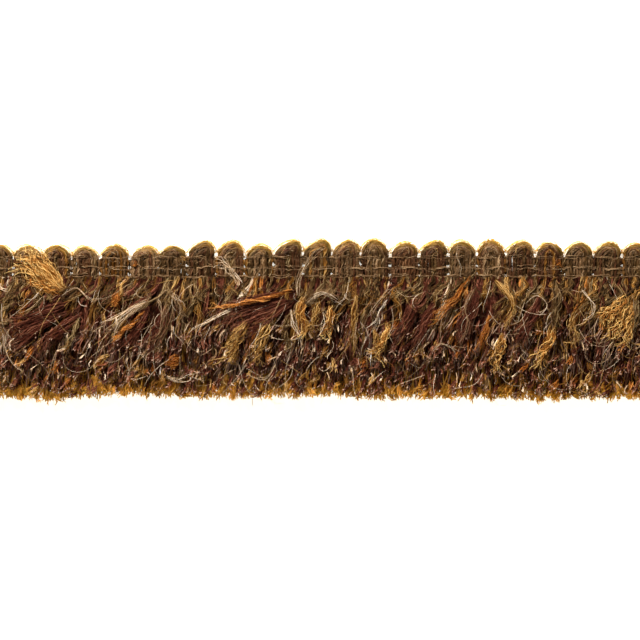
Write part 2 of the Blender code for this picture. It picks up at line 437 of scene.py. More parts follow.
# Where a strand's triangles lie in its lane of the map: the walls' margin at either
# side, and the middle and size of the round places that its two ends take up
WALL_MARGIN = 0.15
WALL_SPAN = 0.7
CAP_MIDDLE = 0.5
CAP_WIDTH = 0.3
CAP_HEIGHT = 0.01


@dataclass
class Strands:
    """Strands of one yarn: their lines, radii and shades."""

    lines: Array
    radii: Array
    shades: Array

    def surface(self) -> tuple[Array, Array, Array]:
        """Carries a ring of points along each line and closes both ends.

        A point is the line's station plus the radius times the sum of cos(angle) times
        the sideways vector and sin(angle) times the upward one, where sideways is the
        cross product of the line's way and the strand's own reference vector. A line
        that would sink into the floor is lifted to rest on it.

        Returns:
            The points, the triangles, and a map place for each triangle's corners.
        """
        count, stations, _ = self.lines.shape
        way = unit(np.gradient(self.lines, axis=1))
        reference = self._references(way)
        sideways = unit(np.cross(way, reference[:, None, :]))
        upward = np.cross(sideways, way)
        angle = np.linspace(0.0, 2.0 * np.pi, SIDES, endpoint=False)
        ring = (
            np.cos(angle)[:, None] * sideways[:, :, None, :]
            + np.sin(angle)[:, None] * upward[:, :, None, :]
        )
        self.lines[..., 2] = np.maximum(self.lines[..., 2], self.radii + FLOOR_GAP)
        points = self.lines[:, :, None, :] + self.radii[:, :, None, None] * ring
        strip, corners = self._strip(stations)
        start = np.arange(count)[:, None, None] * (stations * SIDES)
        faces = (strip[None] + start).reshape(-1, 3)
        places = np.broadcast_to(corners, (count, *corners.shape)).copy()
        places[..., 0] = (self.shades[:, None] + places[..., 0]) / SHADES
        return points.reshape(-1, 3), faces, places.reshape(-1, 2)

    @staticmethod
    def _references(way: Array) -> Array:
        """A vector for each strand that its line never points along.

        Args:
            way: The lines' ways, of length 1: strand, station, direction.

        Returns:
            The vector square to the plane of a steep line, and straight up for another.
        """
        bend = np.cross(way[:, :-1], way[:, 1:]).sum(axis=1)
        steep = np.abs(way[..., 2]).max(axis=1) > STEEP
        level = np.array([0.0, 0.0, 1.0])
        return np.where(steep[:, None], unit(bend + 1e-9), level)

    @staticmethod
    def _strip(stations: int) -> tuple[Array, Array]:
        """The triangles of one strand, whose points are numbered ring by ring.

        A place runs across the lane with the side's number, and along it with the
        station's. The places of an end lie on a circle.

        Args:
            stations: Stations on the strand's line.

        Returns:
            The triangles, and the place across and along of each of their corners.
        """
        station = np.arange(stations - 1)[:, None]
        side = np.arange(SIDES)[None, :]
        after = (side + 1) % SIDES
        low, low_after = station * SIDES + side, station * SIDES + after
        high, high_after = low + SIDES, low_after + SIDES
        walls = np.stack(
            [np.stack([low, high, high_after], -1), np.stack([low, high_after, low_after], -1)],
            axis=2,
        ).reshape(-1, 3)
        v_low = np.broadcast_to(station / (stations - 1.0), low.shape)
        v_high = v_low + 1.0 / (stations - 1.0)
        u_low = np.broadcast_to(WALL_MARGIN + WALL_SPAN * side / SIDES, low.shape)
        u_after = u_low + WALL_SPAN / SIDES
        first = [(u_low, v_low), (u_low, v_high), (u_after, v_high)]
        second = [(u_low, v_low), (u_after, v_high), (u_after, v_low)]
        wall_places = np.stack(
            [np.stack([np.stack(place, -1) for place in half], 2) for half in (first, second)], 2
        ).reshape(-1, 2)
        fan = np.arange(1, SIDES - 1)
        start_cap = np.stack([0 * fan, fan, fan + 1], -1)
        end_cap = np.stack([0 * fan, fan + 1, fan], -1)
        caps = []
        for cap, level in ((start_cap, CAP_HEIGHT), (end_cap, 1.0 - CAP_HEIGHT)):
            angle = 2.0 * np.pi * cap / SIDES
            spot = [CAP_MIDDLE + CAP_WIDTH * np.cos(angle), level + CAP_HEIGHT * np.sin(angle)]
            caps.append(np.stack(spot, -1).reshape(-1, 2))
        faces = np.concatenate([walls, start_cap, end_cap + (stations - 1) * SIDES])
        return faces, np.concatenate([wall_places, *caps])


def add_piece(name: str, groups: Sequence[Strands], finish: YarnFinish, node: str) -> None:
    """Makes one piece of the trim from groups of strands, riding on the trim's body.

    Args:
        name: The piece's name.
        groups: Strands, each group with its own count of stations.
        finish: The yarn's finish.
        node: The solid that the piece stands for, which is hidden.
    """
    made = [group.surface() for group in groups if len(group.lines)]
    starts = np.cumsum([0] + [len(points) for points, _, _ in made[:-1]])
    points = np.concatenate([item[0] for item in made])
    faces = np.concatenate([item[1] + start for item, start in zip(made, starts)])
    places = np.concatenate([item[2] for item in made])
    mesh = bpy.data.meshes.new(name)
    mesh.vertices.add(len(points))
    mesh.vertices.foreach_set("co", points.astype(np.float32).ravel())
    mesh.loops.add(faces.size)
    mesh.loops.foreach_set("vertex_index", faces.astype(np.int32).ravel())
    mesh.polygons.add(len(faces))
    mesh.polygons.foreach_set("loop_start", np.arange(0, faces.size, 3, dtype=np.int32))
    mesh.update(calc_edges=True)
    layer = mesh.uv_layers.new(name=MAP_NAME)
    layer.uv.foreach_set("vector", places.astype(np.float32).ravel())
    mesh.shade_smooth()
    material = bpy.data.materials.get(finish.name) or finish.material()
    mesh.materials.append(material)
    piece = bpy.data.objects.new(name, mesh)
    bpy.context.scene.collection.objects.link(piece)
    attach(piece, BODY)
    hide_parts(node)
    strands = sum(len(group.lines) for group in groups)
    log.info("%s: %d strands, %d triangles", name, strands, len(faces))


def curve_through(points: Sequence[Sequence[float]], count: int) -> Array:
    """A smooth line through points.

    Between two points it is the cubic whose way at each is half the step from the
    point before to the point after, evenly sampled in the points' own numbering.

    Args:
        points: Places in metres.
        count: Stations on the line.

    Returns:
        The stations, one row each.
    """
    given = np.array(points, float)
    padded = np.vstack([2 * given[0] - given[1], given, 2 * given[-1] - given[-2]])
    at = np.linspace(0.0, len(given) - 1.0, count)
    index = np.minimum(at.astype(int), len(given) - 2)
    share = (at - index)[:, None]
    before, first, second, after = (padded[index + step] for step in range(4))
    return 0.5 * (
        2 * first
        + (second - before) * share
        + (2 * before - 5 * first + 4 * second - after) * share**2
        + (3 * first - before - 3 * second + after) * share**3
    )


# Shares of a lock's length: where it is full, where it starts to splay and to taper,
# and where its end starts to curl
FULL_FROM = 0.35
SPLAY_FROM = 0.5
CURL_FROM = 0.65

# How much faster than a strand's first wave its second and third ones run
SECOND_PACE = 1.7
THIRD_PACE = 0.9


@dataclass(frozen=True)
class LockStyle:
    """How the strands of a lock lie about its line; lengths in millimetres."""

    strands: int
    width: float
    depth: float
    radius: float = 0.1
    root_share: float = 0.5
    splay: float = 1.2
    wave: float = 0.16
    waves: float = 2.4
    curl: float = 0.35
    twist: float = 0.4
    stray_share: float = 0.08
    stray_gain: float = 3.0
    ragged: float = 0.12
    shade_spread: float = 6.0
    tip_taper: float = 0.7
    stations: int = 9

    def fill(self, lines: Array, shades: Array, chance: np.random.Generator) -> Strands:
        """Lays strands about the lines of some locks.

        A strand keeps its place in the lock's oval section, which turns by the twist,
        is narrow at the root, full past the first third and splayed at the tip. Slow
        waves run along each strand, and larger ones along its strays, and the last
        third curls aside. The strands near the oval's rim end first, so that the cut
        end is rounded, and each strand's end is thinner by the taper.

        Args:
            lines: The locks' lines: lock, station, place.
            shades: A shade for each lock, from 0 to 1.
            chance: The source of unevenness.

        Returns:
            The strands of all the locks.
        """
        locks, stations, _ = lines.shape
        shape = (locks, self.strands, 1)
        out = np.sqrt(chance.random(shape))
        turn = chance.random(shape) * 2.0 * np.pi
        reach = 1.0 - self.ragged * (0.5 * out**2 + chance.random(shape) ** 2)
        along = np.linspace(0.0, 1.0, stations)[None, None, :] * reach
        spot = along * (stations - 1)
        index = np.minimum(spot.astype(int), stations - 2)
        lock = np.arange(locks)[:, None, None]
        share = (spot - index)[..., None]
        middle = lines[lock, index] * (1 - share) + lines[lock, index + 1] * share
        way = unit(np.gradient(middle, axis=2))
        across = unit(np.stack([-way[..., 1], way[..., 0], 0 * way[..., 0]], -1) + 1e-9)
        upward = np.cross(way, across)
        splay = self.splay * about_one(chance, (locks, 1, 1), 0.25)
        swell = self.root_share + (1 - self.root_share) * ease(along / FULL_FROM)
        swell = swell + (splay - 1) * ease((along - SPLAY_FROM) / (1 - SPLAY_FROM))
        angle = turn + 2 * np.pi * self.twist * along
        strays = chance.random(shape) < self.stray_share
        size = self.wave * np.where(strays, self.stray_gain, 1.0) * (0.25 + 0.75 * along)
        pace = self.waves * about_one(chance, shape, 0.4)
        first = np.sin(2 * np.pi * (pace * along + chance.random(shape)))
        second = np.sin(2 * np.pi * (SECOND_PACE * pace * along + chance.random(shape)))
        third = np.sin(2 * np.pi * (THIRD_PACE * pace * along + chance.random(shape)))
        bend = ease((along - CURL_FROM) / (1 - CURL_FROM)) ** 2 * self.curl
        aside = 0.5 * self.width * out * np.cos(angle) * swell
        aside = aside + size * (0.7 * first + 0.3 * second)
        aside = aside + bend * chance.normal(0.0, 1.0, shape)
        above = 0.5 * self.depth * out * np.sin(angle) * np.sqrt(np.abs(swell))
        above = above + 0.6 * size * third + bend * chance.normal(0.3, 0.6, shape)
        placed = middle + MM * (across * aside[..., None] + upward * above[..., None])
        thick = self.radius * MM * about_one(chance, shape, 0.25)
        radii = thick * (1 - (1 - self.tip_taper) * ease((along - SPLAY_FROM) / (1 - SPLAY_FROM)))
        own = chance.normal(0.0, self.shade_spread, (locks, self.strands))
        shade = np.clip(shades[:, None] * (SHADES - 1) + own, 0, SHADES - 1).astype(int)
        return Strands(placed.reshape(-1, stations, 3), radii.reshape(-1, stations), shade.ravel())


@dataclass(frozen=True)
class Scallop:
    """A scallop's shortfall in height and its peak's shift along the trim."""

    short_mm: float
    shift_mm: float


SCALLOPS = (
    Scallop(1.2, 0.0), Scallop(1.5, 0.0), Scallop(1.3, 0.0), Scallop(1.7, -0.5),
    Scallop(1.3, 0.4), Scallop(1.7, 0.8), Scallop(1.5, 0.4), Scallop(0.4, 0.9),
    Scallop(0.4, 0.8), Scallop(1.3, 0.4), Scallop(0.2, 1.4), Scallop(0.0, 1.2),
    Scallop(0.2, 0.8), Scallop(0.0, -0.3), Scallop(0.7, 0.5), Scallop(0.4, 1.0),
    Scallop(0.4, -0.2), Scallop(0.2, -0.2), Scallop(0.4, 0.6), Scallop(0.7, 0.0),
    Scallop(0.7, 0.6), Scallop(0.7, 0.8), Scallop(0.9, 0.0), Scallop(0.7, 0.3),
)


def column(table: Sequence[Any], name: str) -> Array:
    """One named column of a table of millimetres, in metres."""
    return np.array([getattr(item, name) for item in table]) * MM


@dataclass
class Layout:
    """Sizes that the heading and the pile share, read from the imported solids."""

    left: float = CAD_LOW.x
    right: float = CAD_HIGH.x
    top: float = CAD_HIGH.y
    bottom: float = CAD_LOW.y
    heading_base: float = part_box("heading")[0].y
    heading_thickness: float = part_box("heading")[1].z
    pile_top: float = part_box("skirt_front")[1].z
    climb_share: float = 0.16
    thinning_from: float = 0.35
    thinning: float = 0.42

    @property
    def pitch(self) -> float:
        """The distance from one scallop to the next."""
        return (self.right - self.left) / len(SCALLOPS)

    def inside(self, x: Array, margin: float) -> Array:
        """Places along the trim, kept a margin away from its ends."""
        return np.clip(x, self.left + margin, self.right - margin)

    def pile_height(self, y: Array) -> Array:
        """The height of the pile's upper surface.

        It climbs from the heading, is deepest a little below it, and thins towards the
        cut edge.

        Args:
            y: Places across the trim.

        Returns:
            The height at each place.
        """
        below = (self.heading_base - y) / (self.heading_base - self.bottom)
        climb = ease(below / self.climb_share)
        thinned = ease((below - self.thinning_from) / (1 - self.thinning_from))
        depth = self.pile_top - self.heading_thickness
        return self.heading_thickness + depth * climb * (1.0 - self.thinning * thinned)


class Rank(Enum):
    """A weft yarn's place in its scallop, with the share of painted amber glow at its crown."""

    OUTER = 0.54
    NEXT = 0.2
    INNER = 0.0


@dataclass(frozen=True)
class Face:
    """A face of the heading: its side, and the strands and stations of its yarns."""

    side: int
    strands: int
    stations: int


FACES = (Face(1, 6, 28), Face(-1, 3, 14))
WEFT_YARNS = (Yarn.OLIVE, Yarn.UMBER, Yarn.OCHRE, Yarn.TAUPE)
OUTER_MIX = (0.24, 0.24, 0.20, 0.32)
INNER_MIX = (0.26, 0.38, 0.06, 0.30)
WRAP_SHARES = ((Yarn.TAUPE, 0.5), (Yarn.OCHRE, 0.3), (Yarn.AUBERGINE, 0.2))
WEFT_LOCK = LockStyle(
    6, 0.75, 0.75, radius=0.105, root_share=1.0, splay=1.0, wave=0.14, waves=7.0, curl=0.0,
    twist=4.0, stray_share=0.2, stray_gain=2.2, ragged=0.0, shade_spread=10.0, tip_taper=1.0,
)
RIM_LOCK = LockStyle(
    16, 1.1, 2.0, radius=0.05, root_share=1.0, splay=1.0, wave=0.2, waves=3.5, curl=0.0,
    twist=0.6, stray_share=0.3, stray_gain=2.0, ragged=0.0,
)


@dataclass
class Heading:
    """The woven heading: nested weft yarns, binder threads and fuzz."""

    layout: Layout
    nested: int = 5
    arch_height: float = 3.5 * MM
    lowered_share: float = 0.6
    arch_power: float = 1.65
    inner_rise: float = 0.2
    back_shift: float = 0.4
    rise_end: float = 0.34
    fall_start: float = 0.66
    least_rib: float = 0.45
    neck_share: float = 0.05
    neck_rise: float = 0.5 * MM
    neck_height: float = 0.9 * MM
    yarn_radius: float = 0.33 * MM
    core_radius: float = 0.44 * MM
    yarn_jitter: float = 0.07 * MM
    filler_radius: float = 0.5 * MM
    filler_margin: float = 0.2 * MM
    filler_shrink: float = 0.95
    binder_rows: tuple[float, ...] = (0.45 * MM, 2.45 * MM, 4.75 * MM)
    binder_gap: float = 0.34 * MM
    binder_radius: float = 0.1 * MM
    binder_dip: float = 0.5 * MM
    foot_depth: float = 0.3 * MM
    dip_reach: float = 0.42 * MM
    least_dip: float = 0.35
    binder_swing: float = 0.38 * MM
    binder_drift: float = 0.08 * MM
    binder_hook: float = 0.25 * MM
    binder_jitter: float = 0.2 * MM
    opening_rows: tuple[float, ...] = (0.85 * MM, 2.95 * MM, 5.35 * MM)
    opening_share: float = 0.7
    opening_size: float = 0.36 * MM
    opening_height: float = 0.38 * MM
    opening_reach: float = 0.8 * MM
    opening_jitter: float = 0.15 * MM
    fuzz_count: int = 700
    fuzz_radius: float = 0.035 * MM
    wrap_count: int = 460
    wrap_radius: float = 0.065 * MM
    openings: Array = field(default_factory=lambda: np.empty((0, 2)))
    chance: np.random.Generator = field(
        default_factory=lambda: np.random.default_rng(SEED)
    )

    def build(self) -> None:
        """Builds every piece of the heading."""
        self.openings = self._openings()
        weft = self._weft()
        weft[Rank.INNER, Yarn.OLIVE].append(self._painted_shade_cords())
        for (rank, yarn), groups in weft.items():
            name = f"heading_{rank.name.lower()}_{yarn.name.lower()}"
            add_piece(name, groups, yarn.value.arched(rank.value), "heading")
        binder = replace(Yarn.TAUPE.value, name="binder_thread", mottle=0.7, mottle_turns=90.0)
        add_piece("heading_binders", self._binders(), binder, "heading")
        add_piece("heading_rim", [self._rim()], Yarn.GOLD_FUZZ.value, "heading")
        add_piece("heading_fuzz", [self._fuzz()], Yarn.TAUPE.value, "heading")
        for yarn, share in WRAP_SHARES:
            wraps = self._wraps(round(self.wrap_count * share))
            add_piece(f"heading_wraps_{yarn.name.lower()}", [wraps], yarn.value, "heading")

    def _openings(self) -> Array:
        """Places where the light comes through the heading.

        Most of them lie between two scallops, and a quarter as often one lies between
        the two columns of a scallop.

        Returns:
            The places along and across the trim, one row each.
        """
        lay = self.layout
        number = np.arange(1, 2 * len(SCALLOPS))
        x, row = np.meshgrid(number * lay.pitch / 2 + lay.left, self.opening_rows)
        row = row * (1 - 0.1 * self._short(number // 2) / MM)
        between = number % 2 == 0
        odds = np.where(between, self.opening_share, 0.25 * self.opening_share)
        kept = self.chance.random(x.shape) < odds[None, :]
        height = lay.heading_base + row + self.chance.normal(0.0, self.opening_jitter, x.shape)
        return np.stack([x[kept], height[kept]], -1)

    @staticmethod
    def _short(scallop: Array) -> Array:
        """The shortfall in height of some scallops."""
        return column(SCALLOPS, "short_mm")[scallop]

    def _arch(self, scallop: Array) -> tuple[Array, Array]:
        """The arches of some scallops.

        A part of a scallop's shortfall lowers its arch's start; the rest makes it flat.

        Args:
            scallop: The scallops, counted from the left.

        Returns:
            Where each arch starts across the trim, and how tall it is.
        """
        short = self._short(scallop)
        start = self.layout.top - self.arch_height - self.lowered_share * short
        return start, self.arch_height - (1 - self.lowered_share) * short

    def _parted(self, x: Array, y: Array) -> Array:
        """How far the openings push a yarn aside.

        Args:
            x: The yarn's places along the trim.
            y: Its places across the trim.

        Returns:
            The step aside at each place.
        """
        aside = x[..., None] - self.openings[:, 0]
        along = y[..., None] - self.openings[:, 1]
        near = np.exp(-((along / self.opening_height) ** 2) - (aside / self.opening_reach) ** 2)
        return (np.sign(aside) * near).sum(axis=-1) * self.opening_size

    def _arch_lines(self, scallop: Array, rank: Array, front: Array, stations: int) -> Array:
        """The lines of weft yarns.

        A yarn runs up its left column, over in a superellipse and down its right
        column. Its place is found by the share of its whole way: up, an arch whose
        angle turns through half a circle, and down. The scallop is drawn in a little at
        its neck. A yarn lies nearer the middle of the thickness the further out it is,
        and is drawn in by the binder threads.

        Args:
            scallop: Each yarn's scallop, counted from the left.
            rank: Its place from the outermost, 0, inwards.
            front: 1 for a yarn of the front face, -1 for the back and 0 between them.
            stations: Stations on a line.

        Returns:
            The lines: yarn, station, place.
        """
        lay = self.layout
        count = len(scallop)
        arch_start, arch_tall = self._arch(scallop[:, None])
        shift = column(SCALLOPS, "shift_mm")[scallop, None]
        middle = lay.left + (scallop[:, None] + 0.5) * lay.pitch
        half = lay.pitch / 2
        out = 1.0 - (rank[:, None] + 0.5 + self.back_shift * (front[:, None] < 0)) / self.nested
        wide = half * (out + 0.01)
        risen = self.inner_rise + (1 - self.inner_rise) * out
        tall = arch_tall * risen - 0.1 * self.yarn_radius
        band = arch_start - lay.heading_base
        share = np.linspace(0.0, 1.0, stations)[None, :]
        climb = np.clip(share / self.rise_end, 0, 1)
        fall = np.clip((share - self.fall_start) / (1 - self.fall_start), 0, 1)
        swing = np.clip((share - self.rise_end) / (self.fall_start - self.rise_end), 0, 1) * np.pi
        arch_x = -np.sign(np.cos(swing)) * np.abs(np.cos(swing)) ** (2 / self.arch_power)
        arch_y = np.abs(np.sin(swing)) ** (2 / self.arch_power)
        start = lay.heading_base - self.foot_depth
        y = start + (band + self.foot_depth) * (climb - fall) + tall * arch_y
        jitter = self.chance.normal(0.0, self.yarn_jitter, (count, 3, 1))
        wobble = np.sin(2 * np.pi * (share * 3.0 + self.chance.random((count, 1))))
        from_neck = (y - lay.heading_base - band - self.neck_rise) / self.neck_height
        wide = wide * (1 - self.neck_share * bump(from_neck))
        x = middle + wide * arch_x + shift * arch_y**1.5
        x = x + jitter[:, 0] + self.yarn_jitter * wobble
        x = x + self._parted(x, y)
        centre = lay.heading_thickness / 2
        depth = (centre - self.yarn_radius) * np.sqrt(np.maximum(1 - (out * 0.9) ** 2, 0))
        rib = np.sin(np.pi * np.clip(out, 0, 1))
        ribbed = self.least_rib + (1 - self.least_rib) * rib
        ribbed = (centre - 0.5 * self.yarn_radius) * ribbed
        depth = depth * arch_y + ribbed * (1 - arch_y)
        z = centre + front[:, None] * (depth - self._dip(x, y, front)) + jitter[:, 2]
        return np.stack([x, y, np.broadcast_to(z, x.shape)], -1)

    def _dip(self, x: Array, y: Array, front: Array) -> Array:
        """How far a yarn is drawn in where a binder thread lies over its column.

        Args:
            x: The yarn's places along the trim.
            y: Its places across the trim.
            front: 1 for a yarn of the front face, -1 for the back and 0 between them.

        Returns:
            The step in at each place.
        """
        lay = self.layout
        number_across = np.floor((x - lay.left) / (lay.pitch / 2))
        total = np.zeros_like(x)
        for number, row in enumerate(self.binder_rows):
            over = (number_across + number + (front[:, None] < 0)) % 2
            near = bump((y - lay.heading_base - row) / self.dip_reach)
            total = total + near * (self.least_dip + (1 - self.least_dip) * over) * self.binder_dip
        return total

    def _weft(self) -> dict[tuple[Rank, Yarn], list[Strands]]:
        """Weft yarns of both faces, each of them a core strand, darker as painted shade, with fine ones
        round it.

        Returns:
            The strands, by their place in the scallop and their kind of yarn.
        """
        found: dict[tuple[Rank, Yarn], list[Strands]] = {}
        for face in FACES:
            scallop = np.repeat(np.arange(len(SCALLOPS)), self.nested)
            rank = np.tile(np.arange(self.nested), len(SCALLOPS))
            front = np.full(len(scallop), face.side)
            lines = self._arch_lines(scallop, rank, front, face.stations)
            weights = np.where(rank[:, None] == 0, OUTER_MIX, INNER_MIX)
            draw = self.chance.random((len(scallop), 1))
            kind = (draw > np.cumsum(weights, axis=1)).sum(axis=1)
            shades = self.chance.uniform(0.2, 0.65, len(scallop))
            style = replace(WEFT_LOCK, strands=face.strands)
            core = np.full(lines.shape[:2], self.core_radius)
            # Painted shade: a yarn's core takes half of its shade number
            dark = (shades * SHADES * 0.5).astype(int)
            for (number, yarn), (order, place) in product(enumerate(WEFT_YARNS), enumerate(Rank)):
                chosen = (kind == number) & (np.minimum(rank, len(Rank) - 1) == order)
                if chosen.any():
                    groups = found.setdefault((place, yarn), [])
                    groups.append(style.fill(lines[chosen], shades[chosen], self.chance))
                    groups.append(Strands(lines[chosen], core[chosen], dark[chosen]))
        return found

    def _painted_shade_cords(self) -> Strands:
        """Cords inside the heading, one behind each place where two columns meet, in the darkest shades
        as painted shade for the gaps.

        A cord's radius shrinks to almost nothing where an opening lets the light by.

        Returns:
            The cords.
        """
        lay = self.layout
        count = 2 * len(SCALLOPS) - 1
        number = np.arange(1, count + 1)
        x = lay.left + number[:, None] * lay.pitch / 2
        foot = lay.heading_base - self.filler_margin
        head = self._arch(number // 2)[0][:, None] - self.filler_margin
        y = foot + (head - foot) * np.linspace(0, 1, 34)[None, :]
        x = np.broadcast_to(x, y.shape)
        aside = np.abs(x[..., None] - self.openings[:, 0]) < 0.25 * lay.pitch
        near = bump((y[..., None] - self.openings[:, 1]) / self.opening_height)
        radii = self.filler_radius * (1.0 - self.filler_shrink * (near * aside).max(axis=-1))
        lines = np.stack([x, y, np.full(x.shape, lay.heading_thickness / 2)], -1)
        # Painted shade: the cords take the darkest quarter of the shades
        return Strands(lines, radii, self.chance.integers(0, SHADES // 4, count))

    def _binders(self) -> list[Strands]:
        """Binder threads of both faces.

        Pairs of them cross the columns along X, proud of one and sunk behind the next,
        with a small hook at the columns' edges.

        Returns:
            The threads, as one group.
        """
        lay = self.layout
        stations = len(SCALLOPS) * 12 + 1
        x = np.linspace(lay.left, lay.right, stations)
        across = (x - lay.left) / (lay.pitch / 2)
        centre = lay.heading_thickness / 2
        lines = []
        rows = list(enumerate(self.binder_rows))
        for face, (number, row), side in product((1, -1), rows, (-0.5, 0.5)):
            weave = np.cos(np.pi * (across - 0.5)) * (-1.0) ** (number + (face < 0))
            over = np.sign(weave) * np.abs(weave) ** 0.5
            z = centre + face * (centre - 0.1 * MM + self.binder_swing * over)
            drift = np.sin(x / (2.3 * MM) + number) + 0.8 * np.sin(x / (0.9 * MM) + 2 * number)
            hook = bump(np.sin(np.pi * across) / 0.35) * (-1.0) ** number
            y = lay.heading_base + row + side * self.binder_gap
            own = self.chance.normal(0.0, self.binder_jitter, 2 * len(SCALLOPS))
            y = y + self.binder_drift * drift + self.binder_hook * hook
            y = y + np.interp(across, np.arange(len(own)) + 0.5, own)
            lines.append(np.stack([x, y, z], -1))
        paths = np.array(lines)
        radii = np.full(paths.shape[:2], self.binder_radius)
        radii = radii * (0.75 + 0.25 * np.sin(np.arange(stations) * 0.37))
        shades = self.chance.integers(SHADES // 2, 8 * SHADES // 9, len(paths))
        return [Strands(paths, radii, shades)]

    def _rim(self) -> Strands:
        """Loose hairs that follow the outline of every scallop, their bright gold partly the fuzz's own
        colour and partly a painted glow of the light that comes round the rim.

        Returns:
            The hairs.
        """
        scallop = np.arange(len(SCALLOPS))
        between = np.zeros(len(scallop))
        lines = self._arch_lines(scallop, between - 0.7, between, 34)[:, 12:22]
        return RIM_LOCK.fill(lines, np.full(len(scallop), 0.5), self.chance)

    def _wraps(self, count: int) -> Strands:
        """Loose fibres that cross the caps askew, from one rank of yarns to another.

        A fibre's angle turns over the cap from left to right, and its distance from
        the cap's middle changes steadily on the way: what starts near the middle ends
        near the rim, and the other way round. It lies on the cap's rounded face.

        Args:
            count: How many fibres.

        Returns:
            The fibres.
        """
        lay = self.layout
        chance = self.chance
        scallop = chance.integers(0, len(SCALLOPS), count)
        arch_start, arch_tall = self._arch(scallop[:, None])
        shift = column(SCALLOPS, "shift_mm")[scallop, None]
        share = np.linspace(0, 1, 8)[None, :]
        angle = chance.uniform(1.6, 3.3, (count, 1)) - chance.uniform(0.8, 1.7, (count, 1)) * share
        start = chance.uniform(0.3, 1.0, (count, 1))
        end = np.clip(1.3 - start + chance.normal(0, 0.12, (count, 1)), 0.25, 1.02)
        out = start + (end - start) * share
        rise = out * np.maximum(np.sin(angle), -0.4)
        x = lay.left + (scallop[:, None] + 0.5) * lay.pitch + shift * np.maximum(rise, 0)
        x = x + out * np.cos(angle) * lay.pitch / 2
        y = arch_start + rise * arch_tall
        bulge = np.sqrt(np.maximum(1 - (0.9 * out) ** 2, 0))
        z = lay.heading_thickness / 2 * (1 + bulge) + chance.uniform(-0.05, 0.15, (count, 1)) * MM
        radii = np.full(z.shape, self.wrap_radius) * about_one(chance, (count, 1), 0.4)
        shades = chance.integers(SHADES // 4, SHADES, count)
        return Strands(np.stack([x, y, z], -1), radii, shades)

    def _fuzz(self) -> Strands:
        """Short hairs that lie over the heading's front face every way.

        Returns:
            The hairs.
        """
        lay = self.layout
        chance = self.chance
        count, stations = self.fuzz_count, 6
        x = chance.uniform(lay.left + MM, lay.right - MM, count)
        y = chance.uniform(lay.heading_base, lay.top - 2.2 * MM, count)
        length = chance.uniform(0.6, 2.2, count) * MM
        angle = chance.uniform(0, 2 * np.pi, count)
        bend = chance.normal(0, 1.2, count)
        share = np.linspace(0, 1, stations)
        turning = angle[:, None] + bend[:, None] * share
        step = length[:, None] / (stations - 1)
        across = np.cumsum(np.cos(turning) * step, axis=1)
        along = np.cumsum(np.sin(turning) * step, axis=1) * 0.7
        lift = 0.3 * MM * np.sin(np.pi * share) * chance.random((count, 1))
        z = lay.heading_thickness - 0.1 * MM + lift
        lines = np.stack([x[:, None] + across, y[:, None] + along, z], -1)
        thick = self.fuzz_radius * about_one(chance, (count, 1), 0.3)
        radii = np.broadcast_to(thick, (count, stations))
        return Strands(lines, radii, chance.integers(0, SHADES, count))


@dataclass(frozen=True)
class Sweep:
    """How far the topmost locks' tips are swept along the trim, at a place on it."""

    at_mm: float
    lean_mm: float


SWEEPS = (
    Sweep(-81.0, 0.3),
    Sweep(-62.8, -8.0),
    Sweep(-52.8, -4.5),
    Sweep(-41.8, -8.0),
    Sweep(-30.8, -1.5),
    Sweep(-19.8, -5.0),
    Sweep(-6.8, -9.5),
    Sweep(7.2, -2.0),
    Sweep(22.2, -7.0),
    Sweep(31.2, -8.0),
    Sweep(39.2, -2.0),
    Sweep(47.2, -5.0),
    Sweep(53.2, -1.0),
    Sweep(67.2, -7.5),
    Sweep(81.0, -4.0),
)


class Tier(Enum):
    """The layers of the skirt's pile, by the names that their pieces have."""

    BACK = "back"
    MAT = "mat"
    LOW = "low"
    UPPER = "upper"
    CURLS = "curls"
    EDGE = "edge"
    TIPS = "tips"
    GLINTS = "glints"

    @property
    def node(self) -> str:
        """The solid that the layer stands for."""
        return "skirt_back" if self in (Tier.BACK, Tier.MAT, Tier.EDGE) else "skirt_front"

    def finish(self, yarn: Yarn) -> YarnFinish:
        """The look that a yarn has in this layer.

        Args:
            yarn: The kind of yarn.

        Returns:
            The finish, with a painted golden glow where the light comes round the cut edge,
            with a painted pale highlight on the cut tips of the front's straight locks, and
            plain in the other layers.
        """
        if self in (Tier.BACK, Tier.EDGE):
            return yarn.value.painted_glow_edge()
        if self in (Tier.MAT, Tier.CURLS):
            return yarn.value
        return yarn.value.with_painted_highlights()


@dataclass(frozen=True)
class PileRow:
    """One row of locks across the skirt; lengths in millimetres."""

    tier: Tier
    root_z: float
    rest_z: float
    reach: float
    spread: float
    lean_share: float
    pitch: float
    sway: float
    mix: tuple[float, float, float, float, float]
    style: LockStyle
    stations: int = 7
    shade: float = 0.46


MIXED_YARNS = (Yarn.AUBERGINE, Yarn.OCHRE, Yarn.OLIVE, Yarn.CREAM, Yarn.RUST)
MAT_LOCK = LockStyle(6, 1.8, 0.8, radius=0.34, splay=1.1, wave=0.3, curl=0.5, ragged=0.04)
BACK_LOCK = LockStyle(6, 1.8, 0.9, radius=0.18, splay=1.3, wave=0.3, curl=0.8, ragged=0.1)
LOW_LOCK = LockStyle(
    9, 1.6, 0.9, radius=0.12, splay=1.5, wave=0.3, waves=2.6, curl=0.6, ragged=0.2,
    shade_spread=9.5,
)
UPPER_LOCK = LockStyle(
    12, 1.5, 1.0, radius=0.09, splay=1.8, wave=0.34, waves=2.6, curl=0.8, stray_share=0.18,
    ragged=0.25, shade_spread=10.5,
)
CURLED_LOCK = LockStyle(
    9, 0.9, 0.7, radius=0.085, root_share=0.8, splay=1.4, wave=0.26, waves=2.0, curl=0.7,
    stray_share=0.15, ragged=0.2, shade_spread=10.5,
)
DARK_MIX = (0.76, 0.12, 0.12, 0.0, 0.0)
